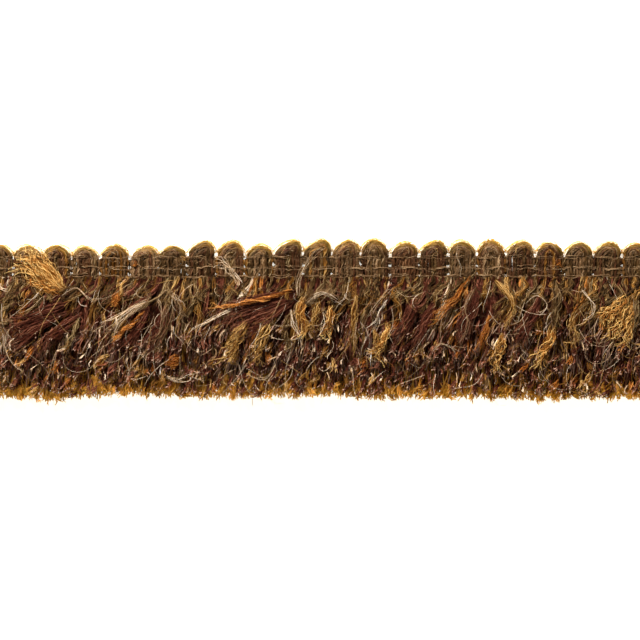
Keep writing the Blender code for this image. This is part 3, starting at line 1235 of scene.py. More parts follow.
ROWS = (
    PileRow(
        Tier.BACK, 0.4, 0.4, 29.0, 1.0, 0.03, 1.35, 0.3,
        (0.30, 0.40, 0.20, 0.0, 0.10), BACK_LOCK,
    ),
    PileRow(Tier.MAT, 0.8, 0.9, 27.2, 0.8, 0.1, 1.05, 0.4, DARK_MIX, MAT_LOCK, 5, 0.6),
    PileRow(Tier.MAT, 1.2, 1.7, 26.8, 0.8, 0.25, 1.05, 0.6, DARK_MIX, MAT_LOCK, 5, 0.6),
    PileRow(
        Tier.BACK, 1.5, 2.4, 28.6, 1.6, 0.35, 1.35, 0.8,
        (0.34, 0.38, 0.18, 0.0, 0.10), BACK_LOCK,
    ),
    PileRow(
        Tier.LOW, 1.8, 3.0, 26.0, 2.8, 0.3, 1.3, 0.7,
        (0.74, 0.13, 0.10, 0.0, 0.03), LOW_LOCK, shade=0.5,
    ),
    PileRow(
        Tier.LOW, 2.1, 4.0, 24.0, 3.6, 0.5, 1.3, 0.8,
        (0.74, 0.13, 0.10, 0.0, 0.03), LOW_LOCK, shade=0.5,
    ),
    PileRow(
        Tier.UPPER, 2.4, 4.9, 21.0, 4.0, 0.75, 1.5, 0.9,
        (0.68, 0.17, 0.11, 0.01, 0.03), UPPER_LOCK,
    ),
    PileRow(
        Tier.UPPER, 2.6, 5.5, 16.5, 4.5, 0.9, 1.7, 1.0,
        (0.52, 0.21, 0.23, 0.01, 0.03), UPPER_LOCK,
    ),
    PileRow(
        Tier.CURLS, 2.8, 6.0, 11.0, 4.5, 0.8, 1.5, 1.0,
        (0.30, 0.16, 0.51, 0.01, 0.02), CURLED_LOCK, shade=0.36,
    ),
    PileRow(
        Tier.CURLS, 2.9, 6.3, 7.0, 3.0, 0.3, 1.2, 0.9,
        (0.14, 0.15, 0.68, 0.01, 0.02), CURLED_LOCK, shade=0.34,
    ),
)


@dataclass(frozen=True)
class TuftBand:
    """Short cut ends scattered over a band of the pile; lengths in millimetres.

    The band's tips lie between low_mm and high_mm above the cut edge, and as far over
    or under the pile's surface as over_mm gives. The ends point down the trim, turned
    by lean_deg towards its left end.
    """

    tier: Tier
    count: int
    low_mm: float
    high_mm: float
    length_mm: float
    lean_deg: float
    spread_deg: float
    over_mm: tuple[float, float]
    mix: tuple[float, float, float, float, float]
    style: LockStyle


TUFT_LOCK = LockStyle(
    9, 1.4, 1.2, radius=0.095, root_share=0.6, splay=1.7, wave=0.2, waves=1.4, curl=0.5,
    ragged=0.45, shade_spread=10.0, tip_taper=0.8,
)
EDGE_LOCK = LockStyle(
    9, 1.4, 1.2, radius=0.14, root_share=0.6, splay=1.5, wave=0.2, waves=1.4, curl=0.5,
    ragged=0.3, shade_spread=12.0, tip_taper=0.8,
)
GLINT_LOCK = LockStyle(
    3, 0.4, 0.3, radius=0.085, root_share=0.9, splay=1.3, wave=0.1, curl=0.2, ragged=0.3,
    shade_spread=12.0, tip_taper=0.9,
)
TUFT_BANDS = (
    TuftBand(
        Tier.EDGE, 210, 0.1, 2.2, 3.8, 4, 22, (-3.0, -0.6),
        (0.24, 0.44, 0.10, 0.0, 0.22), EDGE_LOCK,
    ),
    TuftBand(
        Tier.EDGE, 170, 0.2, 1.4, 4.2, 4, 18, (-5.2, -3.0),
        (0.26, 0.46, 0.10, 0.0, 0.18), EDGE_LOCK,
    ),
    TuftBand(
        Tier.TIPS, 430, 0.8, 11.5, 3.2, 16, 22, (-1.0, 0.5),
        (0.64, 0.22, 0.05, 0.0, 0.09), TUFT_LOCK,
    ),
    TuftBand(
        Tier.TIPS, 80, 11.0, 18.0, 4.4, 24, 26, (-0.7, 0.3),
        (0.54, 0.24, 0.14, 0.0, 0.08), TUFT_LOCK,
    ),
    # The glints: short pale strands whose tips carry the painted highlight of shining cut ends
    TuftBand(
        Tier.GLINTS, 160, 1.5, 16.0, 1.9, 16, 24, (-0.2, 0.6),
        (0.50, 0.0, 0.0, 0.50, 0.0), GLINT_LOCK,
    ),
    TuftBand(
        Tier.GLINTS, 60, 9.5, 16.5, 2.3, 18, 24, (0.0, 0.8),
        (0.30, 0.0, 0.0, 0.70, 0.0), GLINT_LOCK,
    ),
)


@dataclass(frozen=True)
class Edge:
    """How far the cut edge stands back from its lowest, at a place on the trim."""

    at_mm: float
    back_mm: float


EDGES = (
    Edge(-81.0, 0.7), Edge(-72.0, 0.6), Edge(-64.0, 0.3), Edge(-57.0, 0.9), Edge(-52.6, 1.6),
    Edge(-51.4, 2.7), Edge(-50.2, 1.7), Edge(-44.0, 1.3), Edge(-36.0, 1.2), Edge(-29.0, 0.6),
    Edge(-15.0, 0.7), Edge(-3.0, 1.2), Edge(3.0, 1.0), Edge(9.0, 0.2), Edge(20.0, 0.6),
    Edge(26.0, 0.9), Edge(32.0, 0.4), Edge(46.0, 0.3), Edge(60.0, 0.6), Edge(81.0, 0.4),
)


@dataclass
class Pile:
    """The skirt: rows of locks on both plies, and the short ends between them."""

    layout: Layout
    lobe_width: float = 2.6 * MM
    lobe_depth: float = 0.55 * MM
    lobe_drift: float = 4.1 * MM
    sway_power: float = 1.4
    margin: float = 0.9 * MM
    root_jitter: float = 0.3 * MM
    climb_share: float = 0.24
    layer_jitter: float = 0.35 * MM
    tip_lift: float = 0.7 * MM
    lift_from: float = 0.6
    tuft_margin: float = 1.2 * MM
    tuft_bow: float = 0.3 * MM
    tuft_dive: float = 2.0 * MM
    tuft_lowest: float = 0.5 * MM
    chance: np.random.Generator = field(
        default_factory=lambda: np.random.default_rng(SEED + 1)
    )

    def build(self) -> None:
        """Builds one piece for each yarn of each tier."""
        found: dict[tuple[Tier, Yarn], list[Strands]] = {}
        for layer in (*ROWS, *TUFT_BANDS):
            placed = self._row(layer) if isinstance(layer, PileRow) else self._tufts(layer)
            lines, shades, kinds = placed
            for number, yarn in enumerate(MIXED_YARNS):
                chosen = kinds == number
                if chosen.any():
                    group = layer.style.fill(lines[chosen], shades[chosen], self.chance)
                    found.setdefault((layer.tier, yarn), []).append(group)
        for (tier, yarn), groups in found.items():
            name = f"skirt_{tier.value}_{yarn.name.lower()}"
            add_piece(name, groups, tier.finish(yarn), tier.node)

    def _edge(self, x: Array) -> Array:
        """Where the cut edge lies across the trim.

        It follows the table of edges, with small round lobes: the size of a sine whose
        pace drifts, turned over so that the notches between the lobes are narrow.

        Args:
            x: Places along the trim.

        Returns:
            The edge's y at each place.
        """
        at = np.array([edge.at_mm for edge in EDGES])
        back = np.array([edge.back_mm for edge in EDGES])
        lobes = 1 - np.abs(np.sin(np.pi * x / self.lobe_width + np.sin(x / self.lobe_drift)))
        table = (np.interp(x / MM, at, back) - 0.3) * MM
        return self.layout.bottom + table + self.lobe_depth * lobes

    def _drawn(
        self, count: int, mix: Sequence[float], shade: float, spread: float
    ) -> tuple[Array, Array]:
        """Shades from 0 to 1, and kinds of yarn by number, drawn for some locks."""
        kinds = self.chance.choice(len(MIXED_YARNS), count, p=np.array(mix))
        return np.clip(self.chance.normal(shade, spread, count), 0.02, 0.98), kinds

    def _tufts(self, band: TuftBand) -> tuple[Array, Array, Array]:
        """The lines of a band's short ends, from roots sunk in the pile to the tips.

        Args:
            band: The band's sizes.

        Returns:
            The tufts' lines, shades from 0 to 1, and kinds of yarn by number.
        """
        lay = self.layout
        chance = self.chance
        count = band.count
        x = np.linspace(lay.left + self.tuft_margin, lay.right - self.tuft_margin, count)
        x = lay.inside(x + chance.normal(0, self.root_jitter, count), MM)
        above = band.low_mm + (band.high_mm - band.low_mm) * chance.random(count) ** 1.2
        y = self._edge(x) + (above - 0.3) * MM
        turn = np.radians(band.lean_deg + band.spread_deg * chance.normal(0, 1, count))
        length = band.length_mm * MM * chance.uniform(0.7, 1.3, count)
        share = np.linspace(0, 1, 5)[None, :]
        back = (1 - share) * length[:, None]
        bow = chance.normal(0, self.tuft_bow, (count, 1)) * np.sin(np.pi * share)
        line_x = x[:, None] + back * np.sin(turn)[:, None] + bow
        line_y = y[:, None] + back * np.cos(turn)[:, None]
        over = chance.uniform(*band.over_mm, (count, 1)) * MM
        z = lay.pile_height(line_y) + over - self.tuft_dive * (1 - share) ** 1.5
        z = np.maximum(z, self.tuft_lowest)
        line_x = lay.inside(line_x, 0.6 * MM)
        return np.stack([line_x, line_y, z], -1), *self._drawn(count, band.mix, 0.44, 0.2)

    def _row(self, row: PileRow) -> tuple[Array, Array, Array]:
        """The lines of a row's locks.

        A lock leaves the heading at its root height, climbs to its own layer within the
        first quarter, thins down with the pile and lifts a little at its end. Sideways
        it leans by the sweep times its share to the power of sway, with uneven waves.

        Args:
            row: The row's sizes.

        Returns:
            The locks' lines, shades from 0 to 1, and kinds of yarn by number.
        """
        lay = self.layout
        chance = self.chance
        count = int((lay.right - lay.left) / (row.pitch * MM))
        first, last = lay.left + self.margin, lay.right - self.margin
        root_x = np.linspace(first, last, count) + chance.normal(0, self.root_jitter, count)
        root_x = lay.inside(root_x, self.margin)
        lean = np.interp(root_x, column(SWEEPS, "at_mm"), column(SWEEPS, "lean_mm"))
        reach = (row.reach - row.spread * chance.random(count) ** 1.3) * MM
        lean = lean * row.lean_share
        lean = lean + chance.normal(0, 0.4 + 1.1 * row.lean_share, count) * MM
        lean = np.clip(lean, first - root_x, last - root_x)
        share = np.linspace(0, 1, row.stations)[None, :]
        phase = chance.random((count, 2, 1))
        size = chance.normal(0, row.sway * MM, (count, 2, 1))
        sway = size[:, 0] * np.sin(2 * np.pi * (share * 1.0 + phase[:, 0]))
        sway = sway + 0.5 * size[:, 1] * np.sin(2 * np.pi * (share * 2.1 + phase[:, 1]))
        x = root_x[:, None] + lean[:, None] * share**self.sway_power + sway * ease(share * 3)
        x = lay.inside(x, 0.5 * self.margin)
        root_y = lay.heading_base + 0.2 * MM
        tip_y = np.maximum(root_y - reach, self._edge(x[:, -1]) - 0.3 * MM)
        y = root_y + (tip_y - root_y)[:, None] * share
        rest = row.rest_z * MM * lay.pile_height(y) / lay.pile_top
        climb = ease(share / self.climb_share)
        lifted = ease((share - self.lift_from) / (1 - self.lift_from))
        z = row.root_z * MM * (1 - climb) + rest * climb
        z = z + chance.normal(0, self.layer_jitter, (count, 1)) * climb
        z = z + chance.uniform(0, self.tip_lift, (count, 1)) * lifted
        z = np.minimum(z, np.maximum(lay.pile_height(y) + 0.2 * MM, row.root_z * MM))
        return np.stack([x, y, z], -1), *self._drawn(count, row.mix, row.shade, 0.18)


@dataclass(frozen=True)
class Hero:
    """One marked lock of the photographed stretch; lengths in millimetres.

    Its line runs through places (x, y) and lies over the pile by a height.
    """

    yarn: Yarn
    style: LockStyle
    width_mm: float
    strands: int
    over_mm: float
    points_mm: tuple[tuple[float, float], ...]


BRUSH = LockStyle(
    30, 1.8, 1.1, radius=0.055, splay=2.1, wave=0.5, waves=3.0, curl=1.3, stray_share=0.3,
    ragged=0.5, shade_spread=14.0,
)
FRIZZ = LockStyle(
    50, 1.8, 1.6, radius=0.068, root_share=0.6, splay=2.3, wave=0.75, waves=3.6, curl=1.8,
    stray_share=0.3, stray_gain=1.5, ragged=0.5, shade_spread=17.0, stations=14,
)
SMOOTH = LockStyle(
    40, 2.6, 0.8, radius=0.07, splay=2.1, wave=0.36, waves=2.2, curl=0.9, stray_share=0.15,
    ragged=0.45, shade_spread=10.0,
)
WISP = LockStyle(
    6, 1.0, 0.5, radius=0.039, root_share=0.7, splay=1.6, wave=0.6, waves=1.0, curl=0.9,
    stray_share=0.3, stray_gain=1.6, ragged=0.5, shade_spread=12.0, tip_taper=0.5,
    stations=12,
)
TWIST = LockStyle(
    12, 0.8, 0.7, radius=0.065, root_share=0.9, splay=1.3, wave=0.26, waves=3.0, twist=2.4,
    curl=0.5, stray_share=0.3, ragged=0.3, shade_spread=16.0,
)
CURL = LockStyle(
    20, 1.4, 1.0, radius=0.055, root_share=0.7, splay=1.7, wave=0.5, waves=2.6, curl=1.1,
    stray_share=0.3, ragged=0.4, shade_spread=14.0,
)
SLUB = LockStyle(
    30, 1.6, 1.4, radius=0.06, root_share=0.7, splay=1.1, wave=0.5, waves=2.4, twist=0.5,
    curl=0.5, stray_share=0.3, stray_gain=1.4, ragged=0.3, shade_spread=11.0,
)

# The places of these locks were picked from what the photo shows, to 0.1 mm
HEROES = (
    # Gold tuft flipped over the heading
    Hero(Yarn.GOLD, FRIZZ, 2.2, 37, 0.7, ((-61.7, 7.2), (-65.4, 10.7), (-68.9, 14.2), (-72.2, 17.6))),
    Hero(Yarn.GOLD, FRIZZ, 2.0, 35, 1.2, ((-62.2, 7.7), (-64.5, 11.4), (-67.3, 15.1), (-69.4, 17.9))),
    Hero(Yarn.GOLD, FRIZZ, 2.2, 35, 0.9, ((-62.2, 6.7), (-66.4, 9.3), (-70.5, 11.8), (-74.5, 13.9))),
    Hero(Yarn.GOLD, FRIZZ, 2.0, 30, 0.8, ((-61.7, 6.3), (-65.4, 7.4), (-69.6, 9.0), (-74.2, 10.4))),
    Hero(Yarn.GOLD, FRIZZ, 2.2, 40, 1.5, ((-63.1, 8.6), (-66.6, 12.1), (-69.6, 14.6), (-71.2, 16.7))),
    Hero(Yarn.GOLD, CURL, 2.6, 22, 1.5, ((-61.7, 7.0), (-65.4, 9.3), (-68.7, 12.3), (-71.0, 15.1))),
    Hero(Yarn.GOLD, CURL, 2.6, 9, 1.7, ((-62.6, 7.4), (-66.1, 10.4), (-69.6, 13.5), (-72.4, 16.0))),
    # Cream and taupe tuft flipped over the heading
    Hero(Yarn.CREAM, BRUSH, 2.4, 14, 0.8, ((-20.7, 7.2), (-22.3, 10.2), (-25.1, 13.2), (-28.1, 14.4))),
    Hero(Yarn.TAUPE, BRUSH, 2.0, 12, 0.5, ((-21.1, 7.7), (-23.0, 10.4), (-24.1, 12.8), (-27.4, 13.7))),
    # Aubergine mass swept to the left
    Hero(Yarn.AUBERGINE, SMOOTH, 3.0, 52, 0.3,
        ((-59.4, 4.9), (-65.4, 2.3), (-71.9, -0.7), (-77.0, -3.0))),
    Hero(Yarn.AUBERGINE, SMOOTH, 3.0, 52, 0.2,
        ((-60.3, 2.6), (-66.4, -0.2), (-71.9, -4.4), (-75.6, -7.2))),
    Hero(Yarn.AUBERGINE, SMOOTH, 2.7, 44, 0.4,
        ((-57.5, 1.6), (-61.7, -1.6), (-65.9, -4.9), (-69.1, -9.5))),
    Hero(Yarn.OLIVE, CURL, 1.2, 18, 0.7, ((-58.5, 0.7), (-58.9, -2.1), (-60.3, -4.9), (-63.6, -8.6))),
    # Rust slub on an ochre strand
    Hero(Yarn.RUST, SLUB, 2.0, 44, 1.0, ((-49.7, 6.3), (-49.7, 5.3), (-49.7, 4.2), (-49.9, 3.0))),
    Hero(Yarn.OCHRE, WISP, 0.8, 8, 0.4, ((-49.7, 3.7), (-49.4, 2.1), (-49.9, 0.2))),
    # Cream and taupe hairs swept to the left
    Hero(Yarn.CREAM, WISP, 0.5, 3, 1.2, ((-41.8, 5.3), (-45.0, 3.5), (-48.7, 1.2), (-52.0, -2.1))),
    Hero(Yarn.CREAM, WISP, 0.6, 4, 1.0, ((-42.2, 4.4), (-46.4, 1.6), (-49.7, -1.4), (-55.0, -3.9))),
    Hero(Yarn.CREAM, WISP, 0.5, 3, 1.1, ((-42.5, 3.9), (-47.8, 2.1), (-52.9, 0.0), (-59.6, -0.9))),
    Hero(Yarn.CREAM, WISP, 0.4, 3, 1.3, ((-42.9, 4.6), (-46.4, 2.8), (-50.1, -0.9), (-53.6, -2.3))),
    Hero(Yarn.CREAM, WISP, 0.5, 3, 0.9, ((-43.2, 3.9), (-46.9, 0.9), (-50.1, -3.0), (-51.7, -4.9))),
    Hero(Yarn.TAUPE, WISP, 0.6, 4, 0.9, ((-43.6, 3.5), (-48.7, 1.4), (-53.8, -1.6), (-56.6, -3.5))),
    Hero(Yarn.TAUPE, WISP, 1.2, 9, 1.2, ((-43.2, 7.7), (-42.0, 5.8), (-43.2, 3.5), (-45.9, 0.7))),
    # Rust strand
    Hero(Yarn.RUST, TWIST, 1.0, 18, 1.3, ((-43.2, 2.1), (-45.9, -0.7), (-48.7, -3.0), (-51.0, -5.1))),
    # Aubergine lock
    Hero(Yarn.AUBERGINE, SMOOTH, 2.7, 52, 0.5,
        ((-42.2, 3.9), (-44.1, -0.2), (-46.4, -4.9), (-48.3, -9.0))),
    # Swirled lock with pale hairs
    Hero(Yarn.AUBERGINE, SMOOTH, 3.2, 52, 0.4,
        ((-38.5, 3.5), (-39.0, -0.7), (-41.8, -4.9), (-42.7, -10.9))),
    Hero(Yarn.TAUPE, WISP, 1.6, 7, 1.1,
        ((-37.6, 4.9), (-38.5, 1.2), (-39.4, -3.0), (-42.2, -5.3), (-42.9, -10.0))),
    Hero(Yarn.TAUPE, WISP, 1.4, 6, 1.1,
        ((-36.2, 3.5), (-37.1, -0.2), (-39.0, -3.9), (-40.4, -6.7), (-40.4, -11.8))),
    # Short pale curls
    Hero(Yarn.CREAM, WISP, 0.5, 4, 1.3, ((-36.7, 6.3), (-35.5, 5.1), (-34.3, 3.7), (-33.2, 2.8))),
    Hero(Yarn.TAUPE, CURL, 1.2, 10, 1.0, ((-37.1, 6.7), (-35.3, 4.4), (-34.3, 1.6), (-33.9, -0.9))),
    Hero(Yarn.CREAM, WISP, 0.4, 3, 1.3, ((-40.4, 5.3), (-39.4, 3.7), (-39.2, 1.6), (-38.1, 0.2))),
    # Rust rosette and a cream arc
    Hero(Yarn.RUST, SLUB, 2.4, 44, 0.9, ((-35.7, -8.1), (-36.4, -9.0), (-37.1, -10.0), (-37.6, -10.9))),
    Hero(Yarn.CREAM, WISP, 1.0, 8, 0.9, ((-39.4, -12.3), (-35.7, -13.5), (-32.5, -13.0), (-29.2, -11.1))),
    # Locks and a strand swept left from the middle
    Hero(Yarn.AUBERGINE, SMOOTH, 3.0, 57, 0.7, ((-8.4, 6.7), (-15.3, 4.9), (-21.8, 3.0), (-27.8, -0.7))),
    Hero(Yarn.AUBERGINE, SMOOTH, 3.0, 57, 0.5, ((-8.8, 5.6), (-14.9, 3.0), (-20.4, 0.2), (-24.6, -3.0))),
    Hero(Yarn.AUBERGINE, SMOOTH, 2.7, 52, 0.4, ((-9.3, 4.6), (-13.5, 1.6), (-17.2, -1.6), (-19.5, -5.3))),
    Hero(Yarn.RUST, TWIST, 1.1, 16, 1.7, ((-9.3, 7.0), (-16.2, 4.9), (-23.2, 3.5), (-29.7, 3.0))),
    Hero(Yarn.CREAM, WISP, 0.8, 6, 1.8, ((-21.4, 3.5), (-26.5, 1.2), (-30.6, -1.2), (-33.0, -3.9))),
    # Ochre fans
    Hero(Yarn.OCHRE, FRIZZ, 2.6, 37, 0.8, ((-19.0, 0.7), (-21.4, -3.0), (-23.7, -6.7), (-25.5, -10.9))),
    Hero(Yarn.OCHRE, FRIZZ, 2.4, 35, 0.8, ((-13.9, 0.2), (-15.8, -3.5), (-17.2, -7.2), (-18.1, -10.9))),
    Hero(Yarn.OCHRE, BRUSH, 1.6, 24, 0.9, ((-21.4, -2.6), (-22.3, -5.3), (-22.3, -8.1), (-21.8, -10.4))),
    # Two cream hairs that rise over the heading
    Hero(Yarn.CREAM, WISP, 0.3, 3, 1.6,
        ((-8.1, 5.8), (-8.1, 9.5), (-6.0, 13.7), (-3.3, 16.5), (-0.2, 19.3))),
    Hero(Yarn.CREAM, WISP, 0.3, 2, 1.6,
        ((-7.7, 5.8), (-7.2, 10.0), (-5.6, 13.2), (-2.3, 16.0), (0.5, 17.9))),
    # Pale arc
    Hero(Yarn.TAUPE, WISP, 1.2, 14, 1.6, ((-6.5, 3.5), (-3.3, 6.7), (0.5, 6.3), (4.6, 3.5))),
    Hero(Yarn.CREAM, WISP, 1.2, 8, 1.6, ((-6.0, 3.9), (-2.8, 6.3), (0.5, 5.6), (4.2, 3.0))),
    # Frizzy curls of gold, ochre and olive, with cream hairs
    Hero(Yarn.GOLD, CURL, 2.2, 32, 1.0, ((-6.5, 5.3), (-7.4, 1.9), (-6.3, -1.6), (-7.4, -5.1))),
    Hero(Yarn.OCHRE, FRIZZ, 2.6, 27, 0.9, ((-3.3, 5.3), (-3.7, 1.6), (-4.6, -1.6), (-5.6, -4.9))),
    Hero(Yarn.GOLD, FRIZZ, 2.0, 20, 1.0, ((-0.2, 3.5), (-0.5, 0.2), (-1.4, -2.6), (-2.6, -4.9))),
    Hero(Yarn.CREAM, WISP, 1.6, 7, 1.4, ((-9.3, 2.6), (-8.8, -0.7), (-7.4, -3.9), (-7.9, -6.7))),
    Hero(Yarn.CREAM, WISP, 1.2, 6, 1.5, ((-2.3, 3.0), (-1.2, 0.2), (-2.6, -2.8), (-5.1, -5.3))),
    Hero(Yarn.OLIVE, CURL, 1.4, 20, 0.7, ((-10.2, 0.7), (-11.1, -2.6), (-9.8, -5.3), (-10.7, -8.6))),
    # Ochre lock with cream hairs
    Hero(Yarn.OCHRE, BRUSH, 1.6, 30, 1.0, ((5.6, 5.8), (5.1, 1.6), (4.9, -3.0), (4.6, -8.1))),
    Hero(Yarn.CREAM, WISP, 0.4, 4, 1.6, ((4.9, 1.2), (5.6, -1.6), (5.1, -4.4), (4.6, -7.2))),
    # Brush tuft of gold and ochre
    Hero(Yarn.GOLD, FRIZZ, 1.8, 27, 0.9, ((13.0, -0.7), (12.1, -3.9), (10.7, -6.7), (9.7, -10.0))),
    Hero(Yarn.OCHRE, BRUSH, 1.6, 24, 1.1, ((9.7, -2.1), (10.2, -4.4), (10.2, -6.7), (9.3, -8.6))),
    # Cream hair
    Hero(Yarn.CREAM, WISP, 0.4, 3, 1.7, ((7.9, 0.7), (10.7, 4.9), (13.5, 7.7), (17.2, 4.2))),
    # Aubergine locks right of the middle
    Hero(Yarn.AUBERGINE, SMOOTH, 3.0, 52, 0.5, ((19.0, 5.8), (18.1, 1.6), (16.2, -2.6), (14.8, -6.7))),
    Hero(Yarn.AUBERGINE, SMOOTH, 2.7, 46, 0.4, ((24.1, 4.9), (22.3, 1.2), (20.4, -3.0), (19.0, -7.2))),
    # Rust strand right of the middle
    Hero(Yarn.RUST, BRUSH, 1.7, 30, 1.4, ((30.4, 8.4), (28.3, 5.3), (25.1, 2.1), (21.8, -1.6))),
    # Aubergine lock with pale hairs
    Hero(Yarn.AUBERGINE, SMOOTH, 3.5, 65, 0.6, ((33.4, 8.6), (32.0, 3.9), (30.2, -0.7), (28.8, -6.3))),
    Hero(Yarn.TAUPE, WISP, 1.4, 7, 1.6, ((32.9, 8.1), (30.6, 3.5), (31.5, -0.7), (29.2, -5.8))),
    # Wavy ochre lock
    Hero(Yarn.OCHRE, CURL, 1.5, 26, 1.0,
        ((37.6, 9.5), (40.4, 6.3), (41.8, 3.0), (39.9, -0.2), (38.7, -3.5))),
    # Rust and gold ends
    Hero(Yarn.RUST, BRUSH, 1.4, 22, 0.9, ((36.2, 1.2), (35.3, -2.1), (34.3, -4.9), (33.9, -7.7))),
    Hero(Yarn.GOLD, FRIZZ, 2.2, 31, 0.8, ((39.4, -3.0), (38.7, -5.8), (37.6, -9.0), (36.9, -12.3))),
    # Aubergine lock beside a cream loop
    Hero(Yarn.AUBERGINE, SMOOTH, 3.0, 54, 0.6, ((47.8, 5.3), (45.9, 1.2), (43.6, -3.0), (41.5, -7.7))),
    Hero(Yarn.CREAM, WISP, 0.4, 3, 1.8,
        ((44.5, 3.9), (46.9, 5.8), (49.4, 3.5), (47.3, 1.2), (45.9, 3.0))),
    # Upright olive lock
    Hero(Yarn.OLIVE, CURL, 2.2, 40, 1.0, ((51.3, 9.3), (51.7, 5.3), (50.8, 1.2), (51.3, -3.5))),
    # Gold fanned tuft
    Hero(Yarn.GOLD, FRIZZ, 2.6, 37, 1.1, ((51.0, -1.2), (49.6, -4.9), (47.8, -8.1), (46.9, -12.1))),
    # Ochre curls
    Hero(Yarn.OCHRE, CURL, 1.3, 20, 1.0, ((56.1, 2.1), (54.7, -0.7), (56.1, -3.5), (54.3, -6.3))),
    # Gold and olive tuft near the right end
    Hero(Yarn.GOLD, FRIZZ, 2.8, 35, 1.3, ((67.7, 5.8), (65.9, 3.5), (62.6, 1.2), (60.3, -0.7))),
    Hero(Yarn.GOLD, FRIZZ, 2.8, 35, 1.2, ((67.7, 4.9), (66.3, 1.6), (64.5, -2.1), (63.1, -5.3))),
    Hero(Yarn.GOLD, FRIZZ, 2.6, 30, 1.1, ((68.4, 4.4), (68.0, 0.7), (67.0, -3.0), (66.1, -6.3))),
    Hero(Yarn.OLIVE, BRUSH, 2.0, 34, 0.8, ((70.1, 4.9), (69.6, 1.2), (68.9, -2.6), (68.2, -6.7))),
    # Hair that stands over the caps
    Hero(Yarn.CREAM, WISP, 0.3, 2, 1.0, ((29.7, 9.0), (29.5, 13.7), (29.0, 16.9), (28.1, 19.7))),
    # Long hairs across the pile
    Hero(Yarn.CREAM, WISP, 0.3, 2, 1.6, ((-75.2, -5.8), (-74.0, -8.6), (-71.5, -11.4), (-68.7, -13.0))),
    Hero(Yarn.CREAM, WISP, 0.3, 2, 1.6, ((-13.0, -10.0), (-15.3, -12.8), (-17.6, -13.2), (-19.7, -13.0))),
    Hero(Yarn.CREAM, WISP, 0.8, 5, 1.3,
        ((-62.2, 5.8), (-58.9, 7.7), (-55.7, 4.9), (-52.9, 4.9), (-51.0, 7.2))),
    Hero(Yarn.TAUPE, WISP, 0.4, 3, 1.2, ((-77.0, 7.7), (-73.8, 9.3), (-70.1, 8.8), (-66.8, 6.7))),
    Hero(Yarn.TAUPE, WISP, 0.4, 3, 1.4, ((-37.1, 5.8), (-35.3, 3.5), (-33.0, 0.7), (-30.6, -1.2))),
    Hero(Yarn.CREAM, WISP, 0.4, 3, 1.5, ((57.5, 7.2), (59.9, 3.9), (58.9, 0.7), (56.6, -1.2))),
    Hero(Yarn.CREAM, WISP, 0.4, 3, 1.5, ((22.7, -7.2), (25.1, -5.3), (27.8, -6.7), (30.2, -9.5))),
)
SLUBS = (
    Hero(Yarn.RUST, SLUB, 1.7, 20, 0.2, ((52.2, 14.2), (52.4, 13.2), (52.7, 12.1))),
    Hero(Yarn.RUST, SLUB, 1.2, 14, 0.1, ((-45.9, 14.2), (-45.7, 13.2), (-45.7, 12.3))),
    Hero(Yarn.OCHRE, SLUB, 1.2, 14, 0.1, ((-35.7, 14.6), (-34.3, 14.4), (-33.0, 14.6))),
)


